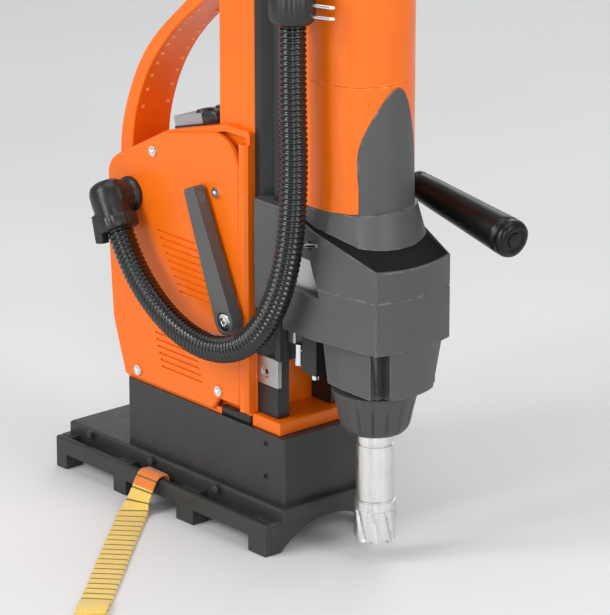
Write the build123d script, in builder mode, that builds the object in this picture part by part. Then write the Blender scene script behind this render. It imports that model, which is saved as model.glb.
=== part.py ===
from build123d import *
from math import acos, cos, pi, radians, sin, sqrt, tan
import os

os.makedirs("parts", exist_ok=True)

# Magnetic core drill on a pipe saddle. Millimetres. +X is the drilling side, +Z is up and Y is across.
# The origin is on the standing surface, under the middle of the machine's outline.

# ---- driving dimensions -------------------------------------------------------------------------
# axes
spindle_x = 109.0
motor_x = 91.0
layshaft_x = 77.0
pinion_x, pinion_z = 5.2, 280.0
lever_x, lever_z = 4.0, 166.0
lever_tip_x, lever_tip_z = -35.5, 259.0
lever_in, lever_face = 44.3, 55.0

# pipe saddle
base_rear, base_front, plate_front = -192.5, 58.0, 62.0
plate_half, rail_in, rail_out = 47.0, 55.0, 61.0
rail_bottom, rail_top = 12.0, 25.0
saddle_height, saddle_half = 19.0, 46.0
rib_spans = [(-192.5, -180.0), (-121.7, -106.6), (-46.0, -26.0), (38.0, 58.0)]
stud_xs, stud_z = [-164.0, -89.0, -12.0], 30.8
lip_width, lip_drop = 3.0, 6.0
strap_bay = (rib_spans[1][1], rib_spans[2][0])
bar_r, bar_y, bar_z = 3.0, 51.0, 17.0

# magnet foot
foot_x, foot_len, foot_half = -37.0, 183.0, 40.0
foot_bottom, foot_top, foot_wall = 34.0, 85.0, 8.0
base_screw_x, base_screw_r, base_head_r = 30.0, 4.0, 6.5

# stand
shell_half, cover_out, wall = 38.0, 42.0, 5.0
column_rear, column_front, column_half, column_wall = -26.0, 14.6, 33.0, 4.0
column_top = 446.0
shell_knee, shell_crest = (-80, 289.5), (-13, 308.5)
cover_screw_points = [(-90.8, 272.0), (-17.9, 257.1), (-112.2, 95.5), (-16.8, 104.5)]
screw_r, screw_head_r = 2.0, 4.0
handle_half = 18.0
flange_front, flange_half, flange_thick = 45.8, 36.5, 9.5
notch_rear, foot_notch = -19.0, 7.5

# guide and carriage
guide_front, guide_bottom, guide_top = 42.0, 140.0, 444.0
guide_gap = 7.0
groove_x, groove_depth = 29.0, 7.0
stop_front, stop_in, stop_out, stop_plate, stop_height = 37.5, 20.0, 31.5, 4.0, 22.0
stop_screw_x, stop_screw_z, stop_screw_r = 23.5, 128.0, 4.2
plate_back, plate_face = 42.1, 50.0
slide_play = 0.1
slide_bottom, slide_top, slide_half = 155.0, 470.0, 26.0
rack_bottom, rack_top, rack_half = 155.0, 322.0, 6.0
carriage_rear, carriage_front, carriage_half = 22.0, 58.0, 41.0
carriage_bottom, carriage_top = 180.0, 262.0

# feed
feed_module, feed_teeth = 2.0, 12
feed_r = feed_module * feed_teeth / 2
rack_line = pinion_x + feed_r
feed_shaft_r, bush_r = 7.5, 9.2
hub_r, spoke_y, spoke_r = 22.0, 62.0, 6.0
spoke_reach, grip_length = 185.0, 107.0
first_spoke = -9.9

# gear box
box_bottom, nose_top, nose_bottom, nose_recess = 173.0, 173.0, 135.7, 143.5
collar_top, motor_seam, cap_bottom, motor_top = 269.0, 361.5, 452.0, 488.0
housing_slope, housing_front_z = 0.339, 235.0
collar_slope, collar_front_z = 0.25, 245.0
chamber_rear, chamber_front, chamber_half = 64.5, 136.0, 27.5
chamber_bottom, chamber_top = 182.0, 228.0
notch_low, notch_high, notch_depth = 206.0, 232.0, 35.0
notch_outline = [
    (carriage_front, notch_low), (98.0, notch_low), (89.0, notch_high), (carriage_front, notch_high),
]
low_gear_z, high_gear_z, rotor_seat = 186.0, 205.0, 240.0
tongue_top, tongue_near, tongue_far, tongue_proud = 359.0, 26.5, 24.0, 1.2
train_module = 1.0
rotor_teeth, lay_big_teeth, lay_small_teeth, spindle_teeth = 9, 19, 16, 48
shaft_r, journal_r, spindle_r = 4.0, 6.0, 11.0
low_bearing_r, top_bearing_r, lay_bearing_r, rotor_bearing_r = 17.0, 11.0, 7.0, 9.0
tool_shank_r, tool_shank_length = 8.0, 30.0
holder_r, cutter_r, cutter_tip_r, cutter_bore_r = 13.5, 13.8, 15.2, 12.0
cutter_bottom, cutter_step, cutter_top, holder_top = 15.7, 48.0, 93.5, 104.0
ring_bottom, ring_top, ring_bore, ring_foot, ring_rim = 100.0, 132.7, 13.6, 21.0, 31.5
groove_zs = [40.0, 47.0]
pilot_r = 3.0
shaft_play = 0.05

# cable entries
mains_x, mains_z = -141.0, 135.0
conduit_r = 10.0
nut_bottom, nut_top, nut_r, outlet_z = 408.0, 430.0, 16.5, 442.0
elbow_x, elbow_z = -118.0, 233.0
conduit_route = [
    (-109.5, -60.4, 211.0),
    (-98.0, -61.5, 193.0),
    (-74.0, -64.0, 172.5),
    (-43.6, -66.0, 156.5),
    (-10.4, -67.0, 148.5),
    (20.0, -67.0, 151.0),
    (46.0, -66.5, 163.0),
    (67.0, -65.0, 186.0),
    (81.0, -63.0, 216.5),
    (88.3, -61.0, 254.5),
    (90.6, -60.2, 304.0),
    (88.1, -60.0, 357.0),
    (88.1, -60.0, 408.0),
]

# webbing
strap_width, strap_thick = 25.0, 2.0
strap_x, strap_rise_y, strap_turn_y = -79.0, 51.5, 72.0
strap_course = (0.67, -0.742)
strap_run, far_strap_run = 212.0, 122.0


# ---- helpers ------------------------------------------------------------------------------------
def involute_outline(module, teeth, tooth_at):
    """Points of a stub-tooth involute gear whose first tooth is centred at tooth_at degrees."""
    pitch_r = module * teeth / 2
    base_r = pitch_r * cos(radians(20))
    tip_r = pitch_r + 0.75 * module
    root_r = pitch_r - 1.05 * module

    def roll(r):
        a = acos(min(1.0, base_r / r))
        return tan(a) - a

    half_tooth = 0.84 * pi / (2 * teeth)
    start_r = max(base_r, root_r)
    radii = [start_r + (tip_r - start_r) * k / 4 for k in range(5)]
    flank = [(r, half_tooth + roll(pitch_r) - roll(r)) for r in radii]
    if base_r > root_r:
        flank.insert(0, (root_r, flank[0][1]))
    points = []
    for tooth in range(teeth):
        centre = radians(tooth_at) + 2 * pi * tooth / teeth
        one = [(r, centre - a) for r, a in flank] + [(r, centre + a) for r, a in reversed(flank)]
        points += [(r * cos(a), r * sin(a)) for r, a in one]
    return points


def draw_gear(module, teeth, tooth_at, centre):
    """Draw a gear's outline as a face in the current sketch."""
    outline = [(centre[0] + x, centre[1] + y) for x, y in involute_outline(module, teeth, tooth_at)]
    draw_polygon(outline)


def draw_polygon(points):
    """Draw a closed polygon as a face in the current sketch."""
    with BuildLine() as line:
        Polyline(*points, close=True)
    make_face(line.edges())


def draw_rounded(points, radii):
    """Draw a closed polygon whose corners are rounded, one radius a corner."""
    with BuildLine() as line:
        FilletPolyline(*points, radius=radii, close=True)
    make_face(line.edges())


def draw_cover():
    """Outline of a side cover, in the XZ plane."""
    draw_rounded(
        [(-129, 88), (-143, 130), (-147, 190), (-146.5, 253.5), (-80, 288), (6.4, 307.5), (6.4, 98),
         (-18, 98), (-25.7, 88)],
        [2, 40, 60, 18, 40, 26, 2, 2, 2],
    )


def draw_shell():
    """Outline of the stand's shell, in the XZ plane."""
    draw_rounded(
        [(-130, foot_top), (-143.8, 130), (-147.8, 190), (-147.4, 254), shell_knee, shell_crest,
         (column_front, 308.5), (column_front, foot_top)],
        [2, 40, 60, 18, 40, 10, 4, 1],
    )


def draw_motor():
    """Cross-section of the motor's casing, in the XY plane."""
    crease, flank, rear = (115.4, 30.4), (90.0, 38.3), (62.0, 34.0)
    with BuildLine() as line:
        ThreePointArc((crease[0], -crease[1]), (130.0, 0), crease)
        ThreePointArc(crease, flank, rear)
        Polyline(rear, (carriage_front, 29), (carriage_front, -29), (rear[0], -rear[1]))
        ThreePointArc((rear[0], -rear[1]), (flank[0], -flank[1]), (crease[0], -crease[1]))
    make_face(line.edges())


def slanted_plane(front_x, front_z, slope):
    """A plane that rises towards the rear from front_z at front_x."""
    return Plane(origin=(front_x, 0, front_z), x_dir=(1, 0, -slope), z_dir=(slope, 0, 1))


housing_cut = slanted_plane(149.0, housing_front_z, housing_slope)
collar_cut = slanted_plane(135.0, collar_front_z, collar_slope)


# ---- pipe saddle --------------------------------------------------------------------------------
plate_mid = (base_rear + plate_front) / 2

with BuildPart() as base_plate:
    with BuildSketch(Plane.XY.offset(rail_top)):
        with Locations((plate_mid, 0)):
            Rectangle(plate_front - base_rear, 2 * plate_half)
        with Locations((foot_x - base_screw_x, 0), (foot_x + base_screw_x, 0)):
            Circle(base_screw_r + 0.3, mode=Mode.SUBTRACT)
    extrude(amount=foot_bottom - rail_top)
    chamfer(base_plate.faces().sort_by(Axis.Z)[-1].outer_wire().edges(), 1.5)
    for side in (1, -1):
        with BuildSketch(Plane.XZ.offset(side * plate_half)):
            with Locations(*[(x, stud_z) for x in stud_xs]):
                Circle(3)
        extrude(amount=side * 4.5)
    # a lip under each edge between the ribs
    for (_, rear), (front, _) in zip(rib_spans, rib_spans[1:]):
        for side in (1, -1):
            with BuildSketch(Plane.XY.offset(rail_top - lip_drop)):
                with Locations(((rear + front) / 2, side * (plate_half - lip_width / 2))):
                    Rectangle(front - rear, lip_width)
            extrude(amount=lip_drop)
base_plate.part.label = "base_plate"

with BuildPart() as saddle_ribs:
    arch_r = (saddle_half**2 + saddle_height**2) / (2 * saddle_height)
    for rear, front in rib_spans:
        with BuildSketch(Plane.YZ.offset(rear)):
            with Locations((0, rail_top / 2)):
                Rectangle(2 * rail_in, rail_top)
            with Locations((0, saddle_height - arch_r)):
                Circle(arch_r, mode=Mode.SUBTRACT)
        extrude(amount=front - rear)
    for side in (1, -1):
        with BuildSketch(Plane.YZ.offset(strap_bay[0] - 8)):
            with Locations((side * bar_y, bar_z)):
                Circle(bar_r)
        extrude(amount=strap_bay[1] - strap_bay[0] + 16, mode=Mode.SUBTRACT)
saddle_ribs.part.label = "saddle_ribs"

with BuildPart() as strap_bars:
    with BuildSketch(Plane.YZ.offset(strap_bay[0] - 8)):
        with Locations((bar_y, bar_z), (-bar_y, bar_z)):
            Circle(bar_r)
    extrude(amount=strap_bay[1] - strap_bay[0] + 16)
strap_bars.part.label = "strap_bars"


def rail_solid(plane, depth):
    """One side rail: a bar with a leg under it at each saddle rib."""
    with BuildPart() as rail:
        with BuildSketch(plane):
            with Locations(((base_rear + base_front) / 2, (rail_bottom + rail_top) / 2)):
                Rectangle(base_front - base_rear, rail_top - rail_bottom)
            for rear, front in rib_spans:
                with Locations(((rear + front) / 2, rail_bottom / 2 + 1)):
                    Rectangle(front - rear, rail_bottom + 2)
                with Locations(((rear + front) / 2, 3)):
                    RectangleRounded(front - rear, 6, 2.5)
        extrude(amount=depth)
        chamfer(rail.edges().filter_by(Axis.X).group_by(Axis.Z)[-1], 1.2)
    return rail.part


with BuildPart() as left_rail:
    add(rail_solid(Plane.XZ.offset(rail_in), rail_out - rail_in))
left_rail.part.label = "left_rail"

with BuildPart() as right_rail:
    add(rail_solid(Plane.XZ.offset(-rail_in), rail_in - rail_out))
right_rail.part.label = "right_rail"

with BuildPart() as base_screws:
    with BuildSketch(Plane.XY.offset(rail_top - 7)):
        with Locations((foot_x - base_screw_x, 0), (foot_x + base_screw_x, 0)):
            Circle(base_head_r)
            RegularPolygon(3.2, 6, mode=Mode.SUBTRACT)
    extrude(amount=4)
    with BuildSketch(Plane.XY.offset(rail_top - 3)):
        with Locations((foot_x - base_screw_x, 0), (foot_x + base_screw_x, 0)):
            Circle(base_head_r)
    extrude(amount=3)
    with BuildSketch(Plane.XY.offset(rail_top)):
        with Locations((foot_x - base_screw_x, 0), (foot_x + base_screw_x, 0)):
            Circle(base_screw_r)
    extrude(amount=25)
base_screws.part.label = "base_screws"

# ---- magnet foot --------------------------------------------------------------------------------
set_screw_points = [(33.5, 77.0), (33.5, 51.5)]

with BuildPart() as magnet_housing:
    with BuildSketch(Plane.XY.offset(foot_bottom)):
        with Locations((foot_x, 0)):
            Rectangle(foot_len, 2 * foot_half)
    extrude(amount=foot_top - foot_bottom)
    chamfer(magnet_housing.edges().filter_by(Axis.Z), 1.5)
    with BuildSketch(Plane.XY.offset(foot_bottom)):
        with Locations((foot_x, 0)):
            Rectangle(foot_len - 2 * foot_wall, 2 * (foot_half - foot_wall))
    extrude(amount=42, mode=Mode.SUBTRACT)
    for side in (1, -1):
        with BuildSketch(Plane.XZ.offset(side * foot_half)):
            with Locations(*set_screw_points):
                Circle(2.5)
        extrude(amount=-side * 6, mode=Mode.SUBTRACT)
magnet_housing.part.label = "magnet_housing"

with BuildPart() as foot_set_screws:
    for side in (1, -1):
        with BuildSketch(Plane.XZ.offset(side * (foot_half - 6))):
            with Locations(*set_screw_points):
                Circle(2.5)
        extrude(amount=side * 6.6)
        with BuildSketch(Plane.XZ.offset(side * (foot_half + 0.6))):
            with Locations(*set_screw_points):
                RegularPolygon(1.4, 6)
        extrude(amount=-side * 2.5, mode=Mode.SUBTRACT)
foot_set_screws.part.label = "foot_set_screws"

with BuildPart() as magnet_core:
    with BuildSketch(Plane.XY.offset(foot_bottom)):
        with Locations((foot_x, 0)):
            Rectangle(foot_len - 2 * foot_wall - 1, 2 * (foot_half - foot_wall) - 1)
    extrude(amount=41)
    with BuildSketch(Plane.XY.offset(foot_bottom)):
        with Locations((foot_x, 0)):
            Rectangle(146, 52)
            Rectangle(100, 22, mode=Mode.SUBTRACT)
    extrude(amount=30, mode=Mode.SUBTRACT)
    with BuildSketch(Plane.XY.offset(foot_bottom)):
        with Locations((foot_x - base_screw_x, 0), (foot_x + base_screw_x, 0)):
            Circle(base_screw_r)
    extrude(amount=rail_top + 25 - foot_bottom, mode=Mode.SUBTRACT)
magnet_core.part.label = "magnet_core"

with BuildPart() as magnet_coil:
    with BuildSketch(Plane.XY.offset(foot_bottom + 3)):
        with Locations((foot_x, 0)):
            RectangleRounded(145, 51, 8)
            RectangleRounded(101, 23, 1, mode=Mode.SUBTRACT)
    extrude(amount=26)
magnet_coil.part.label = "magnet_coil"

# ---- stand --------------------------------------------------------------------------------------
with BuildPart() as stand_shell:
    with BuildSketch(Plane.XZ):
        draw_shell()
    extrude(amount=shell_half, both=True)
    with BuildSketch(Plane.XZ):
        draw_shell()
        offset(amount=-wall)
    extrude(amount=shell_half, both=True, mode=Mode.SUBTRACT)
    with BuildSketch(Plane.XZ):
        with Locations(cover_screw_points[0], cover_screw_points[2]):
            Circle(6)
    extrude(amount=shell_half, both=True)
    # corner posts beside the column
    for side in (1, -1):
        with BuildSketch(Plane.XZ.offset(side * column_half)):
            with Locations((10.8, 197.0)):
                Rectangle(7.6, 204)
        extrude(amount=side * (cover_out - column_half))
    chamfer(
        stand_shell.edges().filter_by(Axis.Z)
        .filter_by_position(Axis.X, column_front - 0.1, column_front + 0.1)
        .filter_by(lambda e: abs(abs(e.center().Y) - cover_out) < 0.2),
        2.5,
    )
    # the column's seat, the feed bush and the screw holes
    with BuildSketch(Plane.XY.offset(foot_top + wall)):
        with Locations(((column_rear + column_front) / 2, 0)):
            Rectangle(column_front - column_rear + 0.2, 2 * column_half + 0.2)
    extrude(amount=300, mode=Mode.SUBTRACT)
    with BuildSketch(Plane.XZ):
        with Locations((pinion_x, pinion_z)):
            Circle(bush_r)
    extrude(amount=-60, mode=Mode.SUBTRACT)
    with BuildSketch(Plane.XZ):
        with Locations(cover_screw_points[0], cover_screw_points[2]):
            Circle(screw_r)
    extrude(amount=60, both=True, mode=Mode.SUBTRACT)
    for side in (1, -1):
        with BuildSketch(Plane.XY.offset(foot_top)):
            with Locations(((notch_rear + column_front) / 2, side * (shell_half - 1))):
                Rectangle(column_front - notch_rear, 10)
        extrude(amount=foot_notch, mode=Mode.SUBTRACT)
    with BuildSketch(Plane.XZ):
        with Locations((lever_x, lever_z)):
            Circle(4.5)
    extrude(amount=cover_out + 1, mode=Mode.SUBTRACT)
stand_shell.part.label = "stand_shell"

with BuildPart() as column:
    with BuildSketch(Plane.XY.offset(foot_top + wall)):
        with Locations(((column_rear + column_front) / 2, 0)):
            Rectangle(column_front - column_rear, 2 * column_half)
            Rectangle(
                column_front - column_rear - 2 * column_wall,
                2 * (column_half - column_wall),
                mode=Mode.SUBTRACT,
            )
    extrude(amount=column_top - foot_top - wall)
    outer_corners = column.edges().filter_by(Axis.Z).filter_by(lambda e: abs(e.center().Y) > column_half - 1)
    chamfer(outer_corners, 1.5)
    with BuildSketch(Plane.YZ.offset(column_front - column_wall - 1)):
        with Locations((0, pinion_z)):
            Rectangle(17, 34)
    extrude(amount=column_wall + 2, mode=Mode.SUBTRACT)
    with BuildSketch(Plane.XZ):
        with Locations((pinion_x, pinion_z)):
            Circle(bush_r)
        with Locations(cover_screw_points[1], cover_screw_points[3]):
            Circle(screw_r)
    extrude(amount=column_half + 1, both=True, mode=Mode.SUBTRACT)
    with BuildSketch(Plane.XZ.offset(column_half + 1)):
        with Locations((lever_x, lever_z)):
            Circle(4 + shaft_play)
    extrude(amount=-column_wall - 2, mode=Mode.SUBTRACT)
    with BuildSketch(Plane.XY.offset(column_top)):
        with Locations(((column_rear + column_front) / 2, 0)):
            RectangleRounded(column_front - column_rear - 1, 2 * column_half - 1, 3)
    extrude(amount=5)
column.part.label = "column"

vent_rows = [(-66.0 + 3.2 * k, 212.0 - 5.2 * k, 44.0) for k in range(9)]
vent_rows += [(-68.0 + 1.5 * k, 131.0 - 5.0 * k, 48.0) for k in range(6)]

with BuildPart() as left_cover:
    with BuildSketch(Plane.XZ.offset(shell_half)):
        draw_cover()
        with Locations(*cover_screw_points):
            Circle(screw_r + 0.3, mode=Mode.SUBTRACT)
        with Locations((lever_x, lever_z)):
            Circle(4.5, mode=Mode.SUBTRACT)
        with Locations((elbow_x, elbow_z)):
            Circle(9, mode=Mode.SUBTRACT)
    extrude(amount=cover_out - shell_half)
    chamfer(left_cover.faces().sort_by(Axis.Y)[0].outer_wire().edges(), 1.2)
    with BuildSketch(Plane.XZ.offset(cover_out)):
        for x, z, length in vent_rows:
            with Locations((x, z)):
                SlotOverall(length, 1.6)
    extrude(amount=-1.5, mode=Mode.SUBTRACT)
left_cover.part.label = "left_cover"

with BuildPart() as right_cover:
    with BuildSketch(Plane.XZ.offset(-shell_half)):
        draw_cover()
        with Locations(*cover_screw_points):
            Circle(screw_r + 0.3, mode=Mode.SUBTRACT)
        with Locations((pinion_x, pinion_z)):
            Circle(bush_r + 1, mode=Mode.SUBTRACT)
    extrude(amount=shell_half - cover_out)
    chamfer(right_cover.faces().sort_by(Axis.Y)[-1].outer_wire().edges(), 1.2)
    with BuildSketch(Plane.XZ.offset(-cover_out)):
        for x, z, length in vent_rows:
            with Locations((x, z)):
                SlotOverall(length, 1.6)
    extrude(amount=1.5, mode=Mode.SUBTRACT)
right_cover.part.label = "right_cover"

with BuildPart() as cover_screws:
    for side in (1, -1):
        with BuildSketch(Plane.XZ.offset(side * cover_out)):
            with Locations(*cover_screw_points):
                Circle(screw_head_r)
        extrude(amount=side * 1.8)
        with BuildSketch(Plane.XZ.offset(side * (cover_out + 1.8))):
            with Locations(*cover_screw_points):
                Rectangle(4.6, 1.1)
                Rectangle(1.1, 4.6)
        extrude(amount=-side * 1.2, mode=Mode.SUBTRACT)
        with BuildSketch(Plane.XZ.offset(side * cover_out)):
            with Locations(*cover_screw_points):
                Circle(screw_r)
        extrude(amount=-side * 11)
cover_screws.part.label = "cover_screws"

with BuildPart() as carry_handle:
    with BuildSketch(Plane.XZ):
        with BuildLine():
            outer = Spline(
                (-147, 205), (-161.5, 246), (-149, 304), (-121.5, 347.5), (-81, 384.5),
                (column_rear, 424),
                tangents=[(-0.55, 1), (1, 0.6)],
            )
            inner = Spline(
                (column_rear, 410), (-86.5, 367), (-127.5, 320), (-146, 268), (-146.5, 250),
                tangents=[(-1, -0.6), (0, -1)],
            )
            Line(outer @ 1, inner @ 0)
            Line(inner @ 1, outer @ 0)
        make_face()
    extrude(amount=handle_half, both=True)
    with BuildSketch(Plane.XZ):
        draw_shell()
    extrude(amount=handle_half + 5, both=True, mode=Mode.SUBTRACT)
carry_handle.part.label = "carry_handle"

with BuildPart() as front_flange:
    with BuildSketch(Plane.XY.offset(foot_top)):
        with Locations(((column_front + flange_front) / 2, 0)):
            Rectangle(flange_front - column_front, 2 * flange_half)
    extrude(amount=flange_thick)
    chamfer(front_flange.faces().sort_by(Axis.Z)[-1].edges(), 0.8)
front_flange.part.label = "front_flange"

with BuildPart() as guide_rails:
    for side in (1, -1):
        with BuildSketch(Plane.XY.offset(guide_bottom)):
            draw_polygon([
                (column_front, side * guide_gap),
                (guide_front, side * guide_gap),
                (guide_front, side * column_half),
                (groove_x + groove_depth, side * column_half),
                (groove_x, side * (column_half - groove_depth)),
                (groove_x - groove_depth, side * column_half),
                (column_front, side * column_half),
            ])
        extrude(amount=guide_top - guide_bottom)
guide_rails.part.label = "guide_rails"

stop_mid = (column_front + stop_front) / 2

with BuildPart() as guide_end_plates:
    for side in (1, -1):
        with BuildSketch(Plane.XZ.offset(side * (stop_out - stop_plate))):
            with Locations((stop_mid, guide_bottom - stop_height / 2)):
                Rectangle(stop_front - column_front, stop_height)
            with Locations((stop_screw_x, stop_screw_z)):
                Circle(stop_screw_r, mode=Mode.SUBTRACT)
        extrude(amount=side * stop_plate)
        with BuildSketch(Plane.XZ.offset(side * (stop_out - stop_plate))):
            with Locations((stop_screw_x, stop_screw_z)):
                Circle(stop_screw_r)
                RegularPolygon(1.9, 6, mode=Mode.SUBTRACT)
        extrude(amount=side * (stop_plate - 1))
guide_end_plates.part.label = "guide_end_plates"

with BuildPart() as end_bumpers:
    for side in (1, -1):
        with BuildSketch(Plane.XY.offset(foot_top + flange_thick)):
            with Locations((stop_mid, side * (stop_out + stop_in) / 2)):
                Rectangle(stop_front - column_front, stop_out - stop_in)
        extrude(amount=guide_bottom - stop_height - foot_top - flange_thick)
        with BuildSketch(Plane.XY.offset(guide_bottom - stop_height)):
            with Locations((stop_mid, side * (stop_out - stop_plate + stop_in) / 2)):
                Rectangle(stop_front - column_front, stop_out - stop_plate - stop_in)
        extrude(amount=stop_height)
end_bumpers.part.label = "end_bumpers"

# ---- controls -----------------------------------------------------------------------------------
panel_rear, panel_front, panel_half, panel_thick = -82.0, -33.0, 28.0, 9.0
button_ys = [-18.0, 0.0, 18.0]
button_x, button_r, button_proud, button_depth = -57.0, 7.0, 2.5, 5.5
panel_slope = (shell_crest[1] - shell_knee[1]) / (shell_crest[0] - shell_knee[0])
panel_origin = Vector(button_x, 0, shell_knee[1] + (button_x - shell_knee[0]) * panel_slope)
panel_plane = Plane(origin=panel_origin, x_dir=(1, 0, panel_slope), z_dir=(-panel_slope, 0, 1))

with BuildPart() as control_panel:
    with BuildSketch(panel_plane.offset(-4)):
        with Locations(((panel_rear + panel_front) / 2 - button_x, 0)):
            Rectangle((panel_front - panel_rear) * sqrt(1 + panel_slope**2), 2 * panel_half)
    extrude(amount=panel_thick + 4)
    chamfer(control_panel.faces().sort_by(Axis.Z)[-1].edges(), 1)
    with BuildSketch(Plane.XZ):
        draw_shell()
    extrude(amount=50, both=True, mode=Mode.SUBTRACT)
    with BuildSketch(panel_plane.offset(panel_thick + button_proud - button_depth - 2)):
        with Locations(*[(0, y) for y in button_ys]):
            Circle(button_r + 0.4)
    extrude(amount=button_depth + 2, mode=Mode.SUBTRACT)
control_panel.part.label = "control_panel"


def button_solid(y):
    """One round push button in the control panel."""
    with BuildPart() as button:
        with BuildSketch(panel_plane.offset(panel_thick + button_proud - button_depth)):
            with Locations((0, y)):
                Circle(button_r)
        extrude(amount=button_depth)
        fillet(button.faces().sort_by(Axis.Z)[-1].edges(), 1)
    return button.part


with BuildPart() as start_button:
    add(button_solid(button_ys[0]))
start_button.part.label = "start_button"

with BuildPart() as stop_button:
    add(button_solid(button_ys[1]))
stop_button.part.label = "stop_button"

with BuildPart() as magnet_button:
    add(button_solid(button_ys[2]))
magnet_button.part.label = "magnet_button"

with BuildPart() as circuit_board:
    with BuildSketch(Plane.XZ.offset(-24)):
        with Locations((-75, 170)):
            Rectangle(80, 100)
    extrude(amount=-1.6)
    with BuildSketch(Plane.XZ.offset(-25.6)):
        with Locations((-75, 170)):
            with GridLocations(70, 90, 2, 2):
                Circle(3)
    extrude(amount=-12.4)
    with BuildSketch(Plane.XZ.offset(-24)):
        with Locations((-92, 190), (-92, 150)):
            Rectangle(30, 22)
        with Locations((-58, 196), (-58, 168), (-58, 140)):
            Circle(8)
    extrude(amount=14)
circuit_board.part.label = "circuit_board"

with BuildPart() as mains_gland:
    with BuildSketch(Plane((mains_x, 0, mains_z), z_dir=(-1, 0, 0))):
        RegularPolygon(9, 6)
    extrude(amount=8)
    add(stand_shell.part, mode=Mode.SUBTRACT)
    with BuildSketch(Plane((mains_x - 8, 0, mains_z), z_dir=(-1, 0, 0))):
        Circle(7)
    extrude(amount=11)
    fillet(mains_gland.faces().sort_by(Axis.X)[0].edges(), 1.5)
    with BuildSketch(Plane((mains_x - 19, 0, mains_z), z_dir=(1, 0, 0))):
        Circle(3.6)
    extrude(amount=12, mode=Mode.SUBTRACT)
mains_gland.part.label = "mains_gland"

# ---- hand feed ----------------------------------------------------------------------------------
with BuildPart() as pinion_bushes:
    for side in (1, -1):
        with BuildSketch(Plane.XZ.offset(side * (column_half - column_wall - 3))):
            with Locations((pinion_x, pinion_z)):
                Circle(bush_r)
                Circle(feed_shaft_r + shaft_play, mode=Mode.SUBTRACT)
        extrude(amount=side * (column_wall + 3))
    with BuildSketch(Plane.XZ.offset(-column_half)):
        with Locations((pinion_x, pinion_z)):
            Circle(bush_r)
            Circle(feed_shaft_r + shaft_play, mode=Mode.SUBTRACT)
    extrude(amount=column_half - cover_out - 0.5)
pinion_bushes.part.label = "pinion_bushes"

with BuildPart() as pinion_shaft:
    with BuildSketch(Plane.XZ.offset(rack_half)):
        draw_gear(feed_module, feed_teeth, 0, (pinion_x, pinion_z))
    extrude(amount=-2 * rack_half)
    with BuildSketch(Plane.XZ.offset(column_half)):
        with Locations((pinion_x, pinion_z)):
            Circle(feed_shaft_r)
    extrude(amount=-column_half - 52)
pinion_shaft.part.label = "pinion_shaft"

with BuildPart() as feed_hub:
    with BuildSketch(Plane.XZ.offset(-43)):
        with Locations((pinion_x, pinion_z)):
            Circle(hub_r)
    extrude(amount=-27)
    fillet(feed_hub.faces().sort_by(Axis.Y)[-1].edges(), 4)
    chamfer(feed_hub.faces().sort_by(Axis.Y)[0].edges(), 1)
    with BuildSketch(Plane.XZ.offset(-43)):
        with Locations((pinion_x, pinion_z)):
            Circle(feed_shaft_r)
    extrude(amount=-9, mode=Mode.SUBTRACT)
    for k in range(3):
        spoke_turn = radians(first_spoke + 120 * k)
        spoke_way = (cos(spoke_turn), 0, sin(spoke_turn))
        with BuildSketch(Plane((pinion_x, spoke_y, pinion_z), z_dir=spoke_way)):
            Circle(spoke_r)
        extrude(amount=hub_r + 2, mode=Mode.SUBTRACT)
feed_hub.part.label = "feed_hub"

with BuildPart() as spokes:
    for k in range(3):
        spoke_turn = radians(first_spoke + 120 * k)
        spoke_way = Vector(cos(spoke_turn), 0, sin(spoke_turn))
        with BuildSketch(Plane(Vector(pinion_x, spoke_y, pinion_z) + spoke_way * 8, z_dir=spoke_way)):
            Circle(spoke_r)
        extrude(amount=spoke_reach - grip_length + 22)
spokes.part.label = "spokes"

with BuildPart() as grips:
    for k in range(3):
        spoke_turn = radians(first_spoke + 120 * k)
        spoke_way = Vector(cos(spoke_turn), 0, sin(spoke_turn))
        grip_side = Vector(0, -1, 0)
        hub_centre = Vector(pinion_x, spoke_y, pinion_z)
        grip_plane = Plane(hub_centre, x_dir=spoke_way, z_dir=spoke_way.cross(grip_side))
        with BuildSketch(grip_plane):
            with BuildLine():
                Polyline(
                    (spoke_reach - grip_length + 30, 0),
                    (spoke_reach - grip_length + 30, spoke_r),
                    (spoke_reach - grip_length, spoke_r),
                    (spoke_reach - grip_length, 10),
                )
                Spline(
                    (spoke_reach - grip_length, 10),
                    (spoke_reach - grip_length + 55, 12.2),
                    (spoke_reach - 8, 14.2),
                    tangents=[(1, 0), (1, 0)],
                )
                Polyline(
                    (spoke_reach - 8, 14.2), (spoke_reach - 3, 14.2), (spoke_reach, 11.5),
                    (spoke_reach, 0),
                )
                Line((spoke_reach, 0), (spoke_reach - grip_length + 30, 0))
            make_face()
        revolve(axis=Axis(Vector(pinion_x, spoke_y, pinion_z), spoke_way))
grips.part.label = "grips"

# ---- clamp lever --------------------------------------------------------------------------------
lever_length = sqrt((lever_tip_x - lever_x) ** 2 + (lever_tip_z - lever_z) ** 2)
lever_dir = Vector(lever_tip_x - lever_x, 0, lever_tip_z - lever_z).normalized()

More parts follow.
